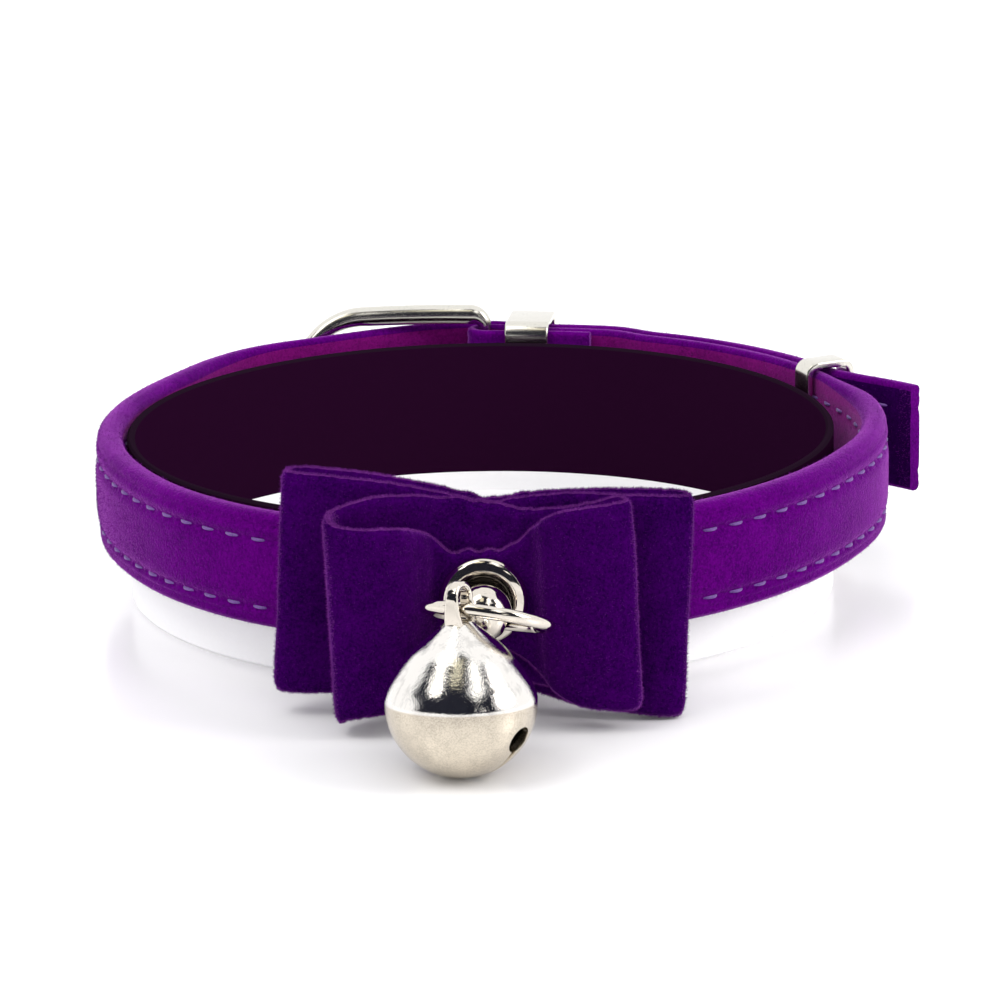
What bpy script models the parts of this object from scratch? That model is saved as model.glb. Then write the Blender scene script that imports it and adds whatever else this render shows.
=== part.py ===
"""Pet bow tie collar on a display band.

A padded velvet strap with a pin buckle stands round a plain display band. Two bows of
velvet ribbon are pinned to its front by a ball stud, and a jump ring through the ball
carries a jingle bell. +Z is up, the front faces -Y and everything stands on z = 0.
"""
import math

import bmesh
import bpy
import numpy as np
from mathutils import Matrix, Vector

MM = 0.001

# Gap that touching pieces keep
CLEARANCE = 0.3 * MM

# Strap: a padded front that thins towards the buckle and the free end
NECK_RADIUS = 33.0 * MM
STRAP_WIDTH = 10.0 * MM
STRAP_HEIGHT_OFF_FLOOR = 5.2 * MM
PAD_THICKNESS = 2.3 * MM
END_THICKNESS = 1.2 * MM
FOLD_THICKNESS = 0.9 * MM
FOLD_LENGTH = 11.0 * MM
TAIL_FLARE = 4.6 * MM
HOLE_DIAMETER = 1.8 * MM
HOLE_PITCH = 12.5 * MM
HOLES_TOWARDS_TAIL = 3
HOLES_PAST_PRONG = 1
STRAP_CORNER_SHARE = 0.42
TAIL_FLARE_POWER = 1.3
PRONG_HOLE_SHARE = 0.9
TAIL_STATIONS = 48
LOOP_STATIONS = 92
STATION_STEP = 1.8

# Places round the neck, in degrees counter-clockwise from +X
TAIL_END_ANGLE = 12.6
FAR_KEEPER_ANGLE = 26.0
HINGE_ANGLE = 89.0
FRAME_END_ANGLE = 118.0
FRONT_ANGLE = 270.0

# Degrees over which the strap steps out over the fold, before and after the fold's end
STEP_LEAD = 10.0
STEP_RUN = 8.0

# Buckle and keepers
HINGE_BAR_RADIUS = 0.6 * MM
SIDE_BAR_RADIUS = 0.95 * MM
END_BAR_RADIUS = 0.75 * MM
PRONG_RADIUS = 0.45 * MM
PRONG_RISE = 3.0 * MM
PRONG_OVERHANG = 1.6 * MM
PRONG_SLOT_LENGTH = 4.4 * MM
KEEPER_WALL = 0.7 * MM
NEAR_KEEPER_WIDTH = 4.2 * MM
NEAR_KEEPER_GAP = 4.4 * MM
FAR_KEEPER_WIDTH = 2.4 * MM
KEEPER_CORNER = 1.3 * MM

# Display band
DISPLAY_WALL = 0.7 * MM
DISPLAY_HEIGHT = 14.5 * MM
DISPLAY_SHIFT_X = 0.0 * MM
DISPLAY_SHIFT_Y = -0.3 * MM

# Bows
RIBBON_WALL = 1.0 * MM
BACK_BOW_WIDTH = 32.9 * MM
BACK_BOW_HEIGHT = 18.6 * MM
BACK_BOW_DEPTH = 5.0 * MM
BACK_BOW_TILT = -3.4
FRONT_BOW_WIDTH = 24.2 * MM
FRONT_BOW_HEIGHT = 17.6 * MM
FRONT_BOW_DEPTH = 5.0 * MM
FRONT_BOW_TILT = 2.0
FRONT_BOW_DROP = 0.3 * MM
BOW_STATIONS = 72
BOW_LEVELS = (-0.5, -0.25, 0.0, 0.25, 0.5)

# Ball stud that pins the bows to the strap
STUD_RISE = 0.4 * MM
POST_RADIUS = 1.0 * MM
WASHER_RADIUS = 3.65 * MM
WASHER_THICKNESS = 0.9 * MM
WASHER_WELL_RADIUS = 2.5 * MM
BALL_RADIUS = 2.3 * MM
BALL_STAND_OFF = 0.5 * MM
BALL_SINK_SHARE = 0.86
BALL_ARC = 140.0
EYE_DROP = 0.7 * MM
STUD_BACK_RADIUS = 2.3 * MM
STUD_BACK_THICKNESS = 0.6 * MM
STUD_EYE_ARC = 40.0

# Jump ring
RING_RADIUS = 4.95 * MM
RING_WIRE_RADIUS = 0.53 * MM
RING_LIFT = 20.5
RING_ROLL = 10.0

# Jingle bell
BELL_RADIUS = 6.1 * MM
BELL_WALL = 0.5 * MM
BELL_SHOULDER = 6.5 * MM
BELL_NECK_RADIUS = 0.95 * MM
BELL_SIDE_SHIFT = -2.5 * MM
BELL_LUG_RADIUS = 1.15 * MM
BELL_LUG_STRAIGHT = 0.8 * MM
BELL_WIRE_HEIGHT = 0.95 * MM
BELL_LUG_WIDTH = 1.3 * MM
BELL_LUG_THICKNESS = 0.5 * MM
BELL_LUG_FOOT = 0.8
BELL_LUG_ROOT = 1.6
BELL_HOLE_RADIUS = 1.15 * MM
BELL_SLIT_WIDTH = 0.6 * MM
BELL_SLIT_TURN = -34.0
BELL_HOLE_DROP = 25.0
CLAPPER_RADIUS = 1.4 * MM

STRAP_MIDDLE = STRAP_HEIGHT_OFF_FLOOR + STRAP_WIDTH / 2
STUD_HEIGHT = STRAP_MIDDLE + STUD_RISE

# Plan of the strap's neck side: angle in degrees, share of the neck radius
NECK_PLAN = (
    (0, 1.035), (10, 1.036), (18, 1.030), (26, 1.033), (45, 1.026), (62, 1.018), (78, 1.000),
    (90, 0.998), (104, 1.024), (118, 1.048), (128, 1.046), (136, 1.018), (146, 0.980), (158, 0.966),
    (180, 0.969), (205, 0.983), (225, 1.018), (245, 1.050), (270, 1.058), (292, 1.040),
    (315, 1.015), (335, 1.010), (350, 1.028),
)

# Thickness along the strap: angle in degrees, share of the way from end to pad thickness
PAD_PLAN = ((118, 0.0), (148, 1.0), (368, 1.0), (383, 0.0))

# Bow walls: share of the half width, how far the wall stands forward of its own waist as
# a share of the bow's depth, and share of the bow's height
BACK_BOW_FRONT_WALL = (
    (1.00, 0.45, 1.0), (0.95, 0.58, 1.0), (0.75, 0.54, 0.99), (0.55, 0.40, 0.97), (0.40, 0.24, 0.94),
    (0.24, 0.08, 0.88), (0.00, 0.00, 0.80), (-0.24, 0.03, 0.87), (-0.49, 0.08, 0.94),
    (-0.73, 0.12, 0.98), (-0.95, 0.10, 1.0), (-1.00, -0.04, 1.0),
)
BACK_BOW_BACK_WALL = (
    (-0.95, -0.02, 1.0), (-0.73, -0.02, 0.99), (-0.49, -0.01, 0.95), (-0.24, -0.01, 0.88),
    (0.00, 0.00, 0.80), (0.24, 0.05, 0.88), (0.49, 0.26, 0.95), (0.73, 0.42, 0.99), (0.95, 0.45, 1.0),
)
FRONT_BOW_FRONT_WALL = (
    (1.00, 0.60, 0.99), (0.94, 0.74, 0.99), (0.78, 0.76, 0.97), (0.60, 0.66, 0.93), (0.46, 0.42, 0.84),
    (0.40, 0.18, 0.74), (0.33, 0.00, 0.64), (0.14, 0.00, 0.47), (-0.04, 0.00, 0.49),
    (-0.20, 0.00, 0.50), (-0.33, 0.00, 0.64), (-0.42, 0.32, 0.75), (-0.57, 0.80, 0.86),
    (-0.80, 0.93, 0.89), (-0.96, 0.86, 0.93), (-1.00, 0.66, 0.98),
)
FRONT_BOW_BACK_WALL = (
    (-0.95, 0.46, 0.98), (-0.72, 0.25, 1.04), (-0.48, 0.12, 1.03), (-0.24, 0.00, 0.98),
    (0.00, 0.00, 0.92), (0.25, 0.04, 0.84), (0.42, 0.24, 0.85), (0.60, 0.42, 0.89),
    (0.78, 0.55, 0.94), (0.94, 0.62, 1.0),
)

# Section of the washer: share of the thickness that moves the point outwards from the named
# radius, and share of the thickness above its back
WASHER_WELL_PROFILE = ((-0.3, 0.4), (0.0, 0.95), (0.25, 1.0))
WASHER_RIM_PROFILE = ((-0.3, 0.75), (0.0, 0.35), (0.0, 0.0))
WASHER_FLOOR_SHARE = 0.4

# Prong from the strap's hole to its tip: share of the prong's rise along the frame, and
# share of the prong's radius above the strap
PRONG_OVER_STRAP = ((1.35, 0.0), (2.0, 0.25))

# Prong over the frame's end: share of the frame's length, share of the prong's overhang,
# and share of the prong's radius above its seat
PRONG_OVER_FRAME = ((0.75, 0.0, 0.5), (1.0, 0.0, 0.0), (1.0, 1.0, -0.5))

# Half profile of the bell above its middle: share of the shoulder height, share of the radius
BELL_SHOULDER_PROFILE = ((0.06, 0.995), (0.25, 0.91), (0.45, 0.77), (0.65, 0.60), (0.85, 0.35))


def material(name, colour, roughness, metallic=0.0):
    """Plain Principled material."""
    made = bpy.data.materials.new(name)
    made.use_nodes = True
    shader = made.node_tree.nodes["Principled BSDF"]
    shader.inputs["Base Color"].default_value = (*colour, 1.0)
    shader.inputs["Roughness"].default_value = roughness
    shader.inputs["Metallic"].default_value = metallic
    return made


def finish_object(obj, group, finish):
    """Put an object into its collection with its material and rounded shading."""
    for owner in list(obj.users_collection):
        owner.objects.unlink(obj)
    group.objects.link(obj)
    obj.data.materials.clear()
    if finish:
        obj.data.materials.append(finish)
    obj.data.shade_smooth()
    obj.data.set_sharp_from_angle(angle=math.radians(40))
    return obj


def mesh_object(name, builder, group, finish=None):
    """Object from a bmesh whose faces are turned outwards."""
    bmesh.ops.recalc_face_normals(builder, faces=builder.faces)
    mesh = bpy.data.meshes.new(name)
    builder.to_mesh(mesh)
    builder.free()
    obj = bpy.data.objects.new(name, mesh)
    group.objects.link(obj)
    return finish_object(obj, group, finish)


def loft(name, rings, group, finish=None, closed=False):
    """Skin through rings of equal point count, capped at the ends or run round."""
    builder = bmesh.new()
    rows = [[builder.verts.new(point) for point in ring] for ring in rings]
    pairs = list(zip(rows, rows[1:]))
    if closed:
        pairs.append((rows[-1], rows[0]))
    for here, there in pairs:
        for index in range(len(here)):
            after = (index + 1) % len(here)
            builder.faces.new((here[index], here[after], there[after], there[index]))
    if not closed:
        builder.faces.new(rows[0])
        builder.faces.new(rows[-1])
    return mesh_object(name, builder, group, finish)


def turned(name, profile, group, finish, steps=32, closed=False):
    """Profile of (radius, height) points turned about +Z."""
    mesh = bpy.data.meshes.new(name)
    points = [(radius, 0.0, height) for radius, height in profile]
    edges = [(index, index + 1) for index in range(len(points) - 1)]
    if closed:
        edges.append((len(points) - 1, 0))
    mesh.from_pydata(points, edges, [])
    obj = bpy.data.objects.new(name, mesh)
    group.objects.link(obj)
    screw = obj.modifiers.new("turn", "SCREW")
    screw.steps = steps
    screw.render_steps = steps
    screw.use_merge_vertices = True
    screw.merge_threshold = 0.000005
    screw.use_normal_calculate = False
    return bake(obj, group, finish)


def bake(obj, group, finish):
    """Replace an object by the mesh that its modifiers make."""
    bpy.context.view_layer.update()
    evaluated = obj.evaluated_get(bpy.context.evaluated_depsgraph_get())
    mesh = bpy.data.meshes.new_from_object(evaluated)
    matrix = obj.matrix_world.copy()
    name = obj.name
    bpy.data.objects.remove(obj)
    builder = bmesh.new()
    builder.from_mesh(mesh)
    bmesh.ops.remove_doubles(builder, verts=builder.verts, dist=0.000002)
    made = mesh_object(name, builder, group, finish)
    made.name = name
    made.matrix_world = matrix
    return made


def tube(name, points, radius, group, finish, cyclic=False, shares=None, resolution=2):
    """Round wire along points, whose radius may vary by shares."""
    curve = bpy.data.curves.new(name, "CURVE")
    curve.dimensions = "3D"
    curve.bevel_depth = radius
    curve.bevel_resolution = resolution
    curve.use_fill_caps = not cyclic
    spline = curve.splines.new("POLY")
    spline.points.add(len(points) - 1)
    for index, point in enumerate(points):
        spline.points[index].co = (*point, 1.0)
        spline.points[index].radius = shares[index] if shares else 1.0
    spline.use_cyclic_u = cyclic
    obj = bpy.data.objects.new(name, curve)
    group.objects.link(obj)
    return bake(obj, group, finish)


def rounded_outline(width, height, corner, steps=3):
    """Points of a rounded rectangle, counter-clockwise from its right side."""
    points = []
    centres = ((1, 1, 0), (-1, 1, 90), (-1, -1, 180), (1, -1, 270))
    for side, level, start in centres:
        for step in range(steps + 1):
            turn = math.radians(start + 90 * step / steps)
            across = side * (width / 2 - corner) + corner * math.cos(turn)
            along = level * (height / 2 - corner) + corner * math.sin(turn)
            points.append((across, along))
    return points


def smooth(value):
    """Ease from 0 to 1."""
    value = min(max(value, 0.0), 1.0)
    return value * value * (3 - 2 * value)


def through(rows, value, period=None):
    """Smooth curve through table rows of (place, amount), read at one place."""
    places = [row[0] for row in rows]
    amounts = [row[1] for row in rows]
    if period:
        value = places[0] + (value - places[0]) % period
        places = [places[-1] - period, *places, places[0] + period, places[1] + period]
        amounts = [amounts[-1], *amounts, amounts[0], amounts[1]]
    if value <= places[0]:
        return amounts[0]
    if value >= places[-1]:
        return amounts[-1]
    index = max(k for k in range(len(places) - 1) if places[k] <= value)
    step = places[index + 1] - places[index]
    share = (value - places[index]) / step
    slopes = []
    for knot in (index, index + 1):
        low = max(knot - 1, 0)
        high = min(knot + 1, len(places) - 1)
        slopes.append((amounts[high] - amounts[low]) / (places[high] - places[low]))
    square = share * share
    cube = square * share
    near = (2 * cube - 3 * square + 1) * amounts[index] + (cube - 2 * square + share) * step * slopes[0]
    far = (3 * square - 2 * cube) * amounts[index + 1] + (cube - square) * step * slopes[1]
    return near + far


def closed_curve(points, stations):
    """Smooth closed curve through a few points of plan place and height."""
    count = len(points)
    corners = [Vector(point) for point in points]
    lengths = [(corners[(k + 1) % count] - corners[k]).xy.length ** 0.5 for k in range(count)]
    marks = [0.0]
    for length in lengths:
        marks.append(marks[-1] + length)
    rows = [[(marks[k], corners[k][axis]) for k in range(count)] for axis in range(3)]
    made = []
    for station in range(stations):
        place = marks[-1] * station / stations
        made.append(Vector([through(row, place, marks[-1]) for row in rows]))
    return made


def polar(angle, radius, height=0.0):
    """World point at an angle round the neck."""
    turn = math.radians(angle)
    return Vector((radius * math.cos(turn), radius * math.sin(turn), height))


def neck_side(angle):
    """Radius of the strap's neck side."""
    return NECK_RADIUS * through(NECK_PLAN, angle, 360)


def arc_degrees(length):
    """Angle that a length takes up round the back of the neck."""
    return math.degrees(length / (NECK_RADIUS + 2 * END_THICKNESS))


FOLD_END_ANGLE = HINGE_ANGLE - arc_degrees(FOLD_LENGTH)
BAR_TO_FOLD = HINGE_BAR_RADIUS + CLEARANCE + FOLD_THICKNESS / 2
HINGE_RADIUS = neck_side(HINGE_ANGLE) + FOLD_THICKNESS / 2 + BAR_TO_FOLD


def strap_thickness(angle):
    """Thickness of the strap that lies next to the neck, for angles from the frame's end on."""
    share = 0.0
    for (low, first), (high, last) in zip(PAD_PLAN, PAD_PLAN[1:]):
        if low <= angle <= high:
            share = first + (last - first) * smooth((angle - low) / (high - low))
    thickness = END_THICKNESS + (PAD_THICKNESS - END_THICKNESS) * share
    fold = smooth((angle - 360 - FOLD_END_ANGLE) / (HINGE_ANGLE - FOLD_END_ANGLE))
    return thickness + (FOLD_THICKNESS - thickness) * fold


def inner_run(angle):
    """Neck side of the strap from the frame's end, round the front and up to the hinge."""
    past_fold_end = angle - 360 - FOLD_END_ANGLE
    lift = FOLD_THICKNESS + CLEARANCE
    over_fold = neck_side(angle) + smooth((past_fold_end + STEP_LEAD) / STEP_RUN) * lift
    at_hinge = HINGE_RADIUS + BAR_TO_FOLD - FOLD_THICKNESS / 2
    rise = smooth((past_fold_end - STEP_RUN) / (HINGE_ANGLE - FOLD_END_ANGLE - STEP_RUN))
    return over_fold + (at_hinge - over_fold) * rise


def outer_run(angle):
    """Neck side of the free end, from the frame's end back over the hinge to its tip."""
    if angle >= HINGE_ANGLE:
        share = smooth((angle - HINGE_ANGLE) / (FRAME_END_ANGLE - HINGE_ANGLE))
        return OVER_HINGE + (neck_side(FRAME_END_ANGLE) - OVER_HINGE) * share
    under = inner_run(angle + 360) + strap_thickness(angle + 360) + CLEARANCE
    flare = max(FAR_KEEPER_ANGLE - angle, 0) / (FAR_KEEPER_ANGLE - TAIL_END_ANGLE)
    padding = strap_thickness(FAR_KEEPER_ANGLE + 360) - strap_thickness(angle + 360)
    return under + TAIL_FLARE * flare ** TAIL_FLARE_POWER + min(padding, 0.0) * flare


OVER_HINGE = inner_run(HINGE_ANGLE + 360) + FOLD_THICKNESS + CLEARANCE


def strap_stations():
    """Plan points and thicknesses of the strap's middle line, from the tip to the fold's end."""
    stations = []
    for angle in np.linspace(TAIL_END_ANGLE, FRAME_END_ANGLE, TAIL_STATIONS):
        stations.append((polar(angle, outer_run(angle) + END_THICKNESS / 2), END_THICKNESS))
    stop = HINGE_ANGLE + 360
    for angle in np.linspace(FRAME_END_ANGLE + STATION_STEP, stop - STATION_STEP, LOOP_STATIONS):
        thickness = strap_thickness(angle)
        stations.append((polar(angle, inner_run(angle) + thickness / 2), thickness))
    hinge = polar(HINGE_ANGLE, HINGE_RADIUS)
    outward = polar(HINGE_ANGLE, 1.0)
    onward = polar(HINGE_ANGLE + 90, 1.0)
    for turn in np.radians(np.linspace(0, 180, 10)):
        point = hinge + BAR_TO_FOLD * (math.cos(turn) * outward + math.sin(turn) * onward)
        stations.append((point, FOLD_THICKNESS))
    for angle in np.linspace(HINGE_ANGLE - STATION_STEP, FOLD_END_ANGLE, 8):
        stations.append((polar(angle, neck_side(angle) + FOLD_THICKNESS / 2), FOLD_THICKNESS))
    return stations


def make_strap(group, cutters, finish):
    """One long padded strip with the prong's hole, the other holes and the stud's hole."""
    stations = strap_stations()
    points = [point for point, thickness in stations]
    rings = []
    for index, (point, thickness) in enumerate(stations):
        before = points[max(index - 1, 0)]
        after = points[min(index + 1, len(points) - 1)]
        along = (after - before).normalized()
        across = Vector((along.y, -along.x, 0))
        outline = rounded_outline(thickness, STRAP_WIDTH, STRAP_CORNER_SHARE * thickness, steps=2)
        rings.append([point + across * side + Vector((0, 0, STRAP_MIDDLE + level))
                      for side, level in outline])
    strap = loft("strap", rings, group, finish)
    past = HINGE_ANGLE + arc_degrees(PRONG_HOLE_SHARE * PRONG_RISE)
    for number in range(-HOLES_TOWARDS_TAIL, HOLES_PAST_PRONG + 1):
        angle = past + number * arc_degrees(HOLE_PITCH)
        middle = END_THICKNESS / 2
        middle += outer_run(angle) if angle < FRAME_END_ANGLE else inner_run(angle)
        if number == 0:
            cut_slot(strap, cutters, angle, middle)
        else:
            reach = END_THICKNESS + CLEARANCE
            cut_hole(strap, cutters, polar(angle, middle), polar(angle, 1.0), HOLE_DIAMETER / 2, reach)
    cut_fold_slot(strap, cutters)
    cut_stud_hole(strap, cutters)
    return strap


def subtract(obj, cutter):
    """Cut one closed mesh from another and keep the cutter as a hidden guide."""
    cutter.hide_render = True
    cutter.display_type = "WIRE"
    cut = obj.modifiers.new("cut_" + cutter.name, "BOOLEAN")
    cut.operation = "DIFFERENCE"
    cut.solver = "EXACT"
    cut.object = cutter


def cut_hole(obj, cutters, middle, axis, radius, length):
    """Round hole along an axis in the plan, at the strap's middle height."""
    builder = bmesh.new()
    turn = Vector(axis).to_track_quat("Z", "Y").to_matrix().to_4x4()
    place = Matrix.Translation(middle + Vector((0, 0, STRAP_MIDDLE))) @ turn
    bmesh.ops.create_cone(builder, cap_ends=True, segments=12, radius1=radius, radius2=radius,
                          depth=length, matrix=place)
    subtract(obj, mesh_object("hole_cutter", builder, cutters))


def cut_box(obj, cutters, middle, angle, size):
    """Box cut, its size given outwards from the neck, round it and upwards."""
    builder = bmesh.new()
    place = Matrix.Translation(middle) @ Matrix.Rotation(math.radians(angle), 4, "Z")
    bmesh.ops.create_cube(builder, size=1.0, matrix=place @ Matrix.Diagonal((*size, 1.0)))
    subtract(obj, mesh_object("box_cutter", builder, cutters))


def cut_slot(strap, cutters, angle, middle):
    """Long hole that the prong passes up through."""
    size = (END_THICKNESS + CLEARANCE, PRONG_SLOT_LENGTH, 2 * (PRONG_RADIUS + CLEARANCE))
    cut_box(strap, cutters, polar(angle, middle, STRAP_MIDDLE), angle, size)


def cut_fold_slot(strap, cutters):
    """Slot in the fold that the prong's eye sits in."""
    reach = BAR_TO_FOLD + FOLD_THICKNESS
    size = (2 * reach - CLEARANCE / 2, 2 * reach, 2 * (PRONG_RADIUS + CLEARANCE))
    cut_box(strap, cutters, polar(HINGE_ANGLE, HINGE_RADIUS, STRAP_MIDDLE), HINGE_ANGLE, size)


def stud_cutter(cutters):
    """Cylinder that clears the stud's post through strap and bows."""
    builder = bmesh.new()
    start = -neck_side(FRONT_ANGLE) + STUD_BACK_THICKNESS
    stop = front_planes()[2] - WASHER_THICKNESS
    radius = POST_RADIUS + CLEARANCE
    turn = Matrix.Rotation(math.pi / 2, 4, "X")
    place = Matrix.Translation((0, (start + stop) / 2, STUD_HEIGHT)) @ turn
    bmesh.ops.create_cone(builder, cap_ends=True, segments=16, radius1=radius, radius2=radius,
                          depth=start - stop, matrix=place)
    return mesh_object("stud_cutter", builder, cutters)


def cut_stud_hole(obj, cutters):
    """Hole for the stud's post."""
    subtract(obj, stud_cutter(cutters))


def make_display_band(group, finish, inner_parts):
    """Plain band inside the strap, as wide as the pieces round it allow."""
    centre = Vector((DISPLAY_SHIFT_X, DISPLAY_SHIFT_Y, 0))
    radius = min((point - centre).length for point in inner_parts) - CLEARANCE
    profile = ((radius, DISPLAY_HEIGHT), (radius, 0), (radius - DISPLAY_WALL, 0),
               (radius - DISPLAY_WALL, DISPLAY_HEIGHT))
    band = turned("display_band", profile, group, finish, steps=72, closed=True)
    band.location = centre
    return band


def neck_side_points(keepers):
    """Points that the display band has to clear: the strap's neck side and the keepers."""
    points = [polar(angle, neck_side(angle)) for angle in range(0, 360, 2)]
    for angle, inner, outer, width in keepers:
        onward = polar(angle + 90, 1.0)
        face = polar(angle, inner - KEEPER_WALL)
        points += [face + onward * width / 2, face - onward * width / 2, face]
    points.append(polar(HINGE_ANGLE, HINGE_RADIUS - BAR_TO_FOLD - FOLD_THICKNESS / 2))
    return points


def keeper_rows():
    """Angle, inner and outer radius of the hole, and width of each keeper."""
    near = HINGE_ANGLE - arc_degrees(NEAR_KEEPER_GAP)
    rows = []
    for angle, width in ((near, NEAR_KEEPER_WIDTH), (FAR_KEEPER_ANGLE, FAR_KEEPER_WIDTH)):
        spread = math.degrees(width / 2 / NECK_RADIUS)
        ends = (angle - spread, angle, angle + spread)
        inner = min(neck_side(end) for end in ends) - CLEARANCE
        outer = max(outer_run(end) for end in ends) + END_THICKNESS + CLEARANCE
        rows.append((angle, inner, outer, width))
    return rows


def make_keeper(name, row, group, finish):
    """Flat metal loop round the strap and the free end over it."""
    angle, inner, outer, width = row
    depth = outer - inner
    height = STRAP_WIDTH + 2 * CLEARANCE
    curve = bpy.data.curves.new(name, "CURVE")
    curve.dimensions = "2D"
    curve.fill_mode = "BOTH"
    curve.extrude = width / 2
    for grow in (KEEPER_WALL, 0.0):
        corner = KEEPER_CORNER + grow - KEEPER_WALL
        outline = rounded_outline(depth + 2 * grow, height + 2 * grow, corner)
        spline = curve.splines.new("POLY")
        spline.points.add(len(outline) - 1)
        for index, (across, level) in enumerate(outline):
            spline.points[index].co = (across, level, 0, 1)
        spline.use_cyclic_u = True
    obj = bpy.data.objects.new(name, curve)
    group.objects.link(obj)
    outward = polar(angle, 1.0)
    onward = Vector((0, 0, 1)).cross(outward)
    turn = Matrix((outward, (0, 0, 1), -onward)).transposed().to_4x4()
    obj.matrix_world = Matrix.Translation(polar(angle, (inner + outer) / 2, STRAP_MIDDLE)) @ turn
    return bake(obj, group, finish)


def frame_end_radius():
    """Radius at which the frame's far end lies over the strap."""
    return neck_side(FRAME_END_ANGLE) + END_THICKNESS + 2 * CLEARANCE + SIDE_BAR_RADIUS


def frame_length():
    """Length of the frame along its curve, between the middles of its end bars."""
    middle_radius = (HINGE_RADIUS + frame_end_radius()) / 2
    return math.radians(FRAME_END_ANGLE - HINGE_ANGLE) * middle_radius


def frame_point(place, level=0.0, out=0.0):
    """Point of the buckle's curved frame: distance from the hinge, height and stand-off."""
    share = place / frame_length()
    angle = HINGE_ANGLE + (FRAME_END_ANGLE - HINGE_ANGLE) * share
    radius = HINGE_RADIUS + (frame_end_radius() - HINGE_RADIUS) * share
    return polar(angle, radius + out, STRAP_MIDDLE + level)


def make_buckle_frame(group, finish):
    """D-shaped wire frame: hinge bar, two stout side bars and a half-round end."""
    length = frame_length()
    half = STRAP_WIDTH / 2 + CLEARANCE + SIDE_BAR_RADIUS
    corner = SIDE_BAR_RADIUS + CLEARANCE
    rows = [(0.0, 0.0, HINGE_BAR_RADIUS)]
    for step in range(4):
        turn = math.radians(90 * step / 3)
        radius = HINGE_BAR_RADIUS + (SIDE_BAR_RADIUS - HINGE_BAR_RADIUS) * step / 3
        rows.append((corner * (1 - math.cos(turn)), half - corner + corner * math.sin(turn), radius))
    for step in range(1, 4):
        rows.append((corner + (length - half - corner) * step / 4, half, SIDE_BAR_RADIUS))
    for step in range(9):
        turn = math.radians(90 - 90 * step / 8)
        radius = SIDE_BAR_RADIUS + (END_BAR_RADIUS - SIDE_BAR_RADIUS) * smooth(step / 5)
        rows.append((length - half + half * math.cos(turn), half * math.sin(turn), radius))
    rows += [(place, -level, radius) for place, level, radius in rows[-2:0:-1]]
    points = [frame_point(place, level) for place, level, radius in rows]
    shares = [radius / SIDE_BAR_RADIUS for place, level, radius in rows]
    return tube("buckle_frame", points, SIDE_BAR_RADIUS, group, finish, cyclic=True, shares=shares)


def make_prong(group, finish):
    """Wire curled round the hinge bar, up through the strap and over the frame's end."""
    curl = HINGE_BAR_RADIUS + CLEARANCE + PRONG_RADIUS
    hinge = frame_point(0.0)
    outward = polar(HINGE_ANGLE, 1.0)
    onward = polar(HINGE_ANGLE + 90, 1.0)
    points = []
    for step in range(13):
        turn = math.radians(-180 + 300 * step / 12)
        points.append(hinge + curl * (math.cos(turn) * onward + math.sin(turn) * outward))
    clear = CLEARANCE + PRONG_RADIUS
    strap_top = OVER_HINGE + END_THICKNESS + clear - HINGE_RADIUS
    seat = END_BAR_RADIUS + clear
    points.append(hinge + onward * (0.75 * PRONG_RISE) + outward * (curl + strap_top) / 2)
    for rise, lift in PRONG_OVER_STRAP:
        points.append(frame_point(rise * PRONG_RISE, out=strap_top + lift * PRONG_RADIUS))
    for share, over, lift in PRONG_OVER_FRAME:
        reach = share * frame_length() + over * PRONG_OVERHANG
        points.append(frame_point(reach, out=seat + lift * PRONG_RADIUS))
    shares = [1.0] * (len(points) - 1) + [0.6]
    return tube("buckle_prong", points, PRONG_RADIUS, group, finish, shares=shares)


def bow_walls(front_rows, back_rows, width, depth, height, waist_front):
    """Plan place and height of a bow's wall, round from the right end over the front."""
    half = width / 2
    waist_back = waist_front + RIBBON_WALL + CLEARANCE
    points = []
    for rows, waist in ((front_rows, waist_front), (back_rows, waist_back)):
        for side, forward, tall in rows:
            points.append((half * side, waist - depth * forward, height * tall))
    return points


def make_bow(name, walls, tilt, middle_height, group, cutters, finish):
    """Ribbon sewn into a flat ring, drawn in at its waist and turned a little."""
    line = closed_curve(walls, BOW_STATIONS)
    turn = Matrix.Rotation(-math.radians(tilt), 3, "Y")
    middle = Vector((0, 0, middle_height))
    rings = []
    for index, point in enumerate(line):
        along = (line[(index + 1) % len(line)] - line[index - 1]).xy.normalized()
        across = Vector((along.y, -along.x)) * RIBBON_WALL / 2
        ring = [Vector((*(point.xy + across), level * point.z)) for level in BOW_LEVELS]
        ring += [Vector((*(point.xy - across), level * point.z)) for level in reversed(BOW_LEVELS)]
        rings.append([middle + turn @ spot for spot in ring])
    bow = loft(name, rings, group, finish, closed=True)
    cut_stud_hole(bow, cutters)
    return bow


def front_planes():
    """Waist planes of both bows and the back plane of the washer, all in y."""
    step = RIBBON_WALL + CLEARANCE
    strap_face = -(neck_side(FRONT_ANGLE) + PAD_THICKNESS)
    back_bow = strap_face - CLEARANCE - RIBBON_WALL / 2 - step
    front_bow = back_bow - 2 * step
    washer = front_bow - RIBBON_WALL / 2 - CLEARANCE
    return back_bow, front_bow, washer


def along_stud(obj, plane):
    """Turn a piece made about +Z so that +Z points out of the collar's front."""
    turn = Matrix.Rotation(math.pi / 2, 4, "X")
    obj.matrix_world = Matrix.Translation((0, plane, STUD_HEIGHT)) @ turn
    return obj


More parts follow.
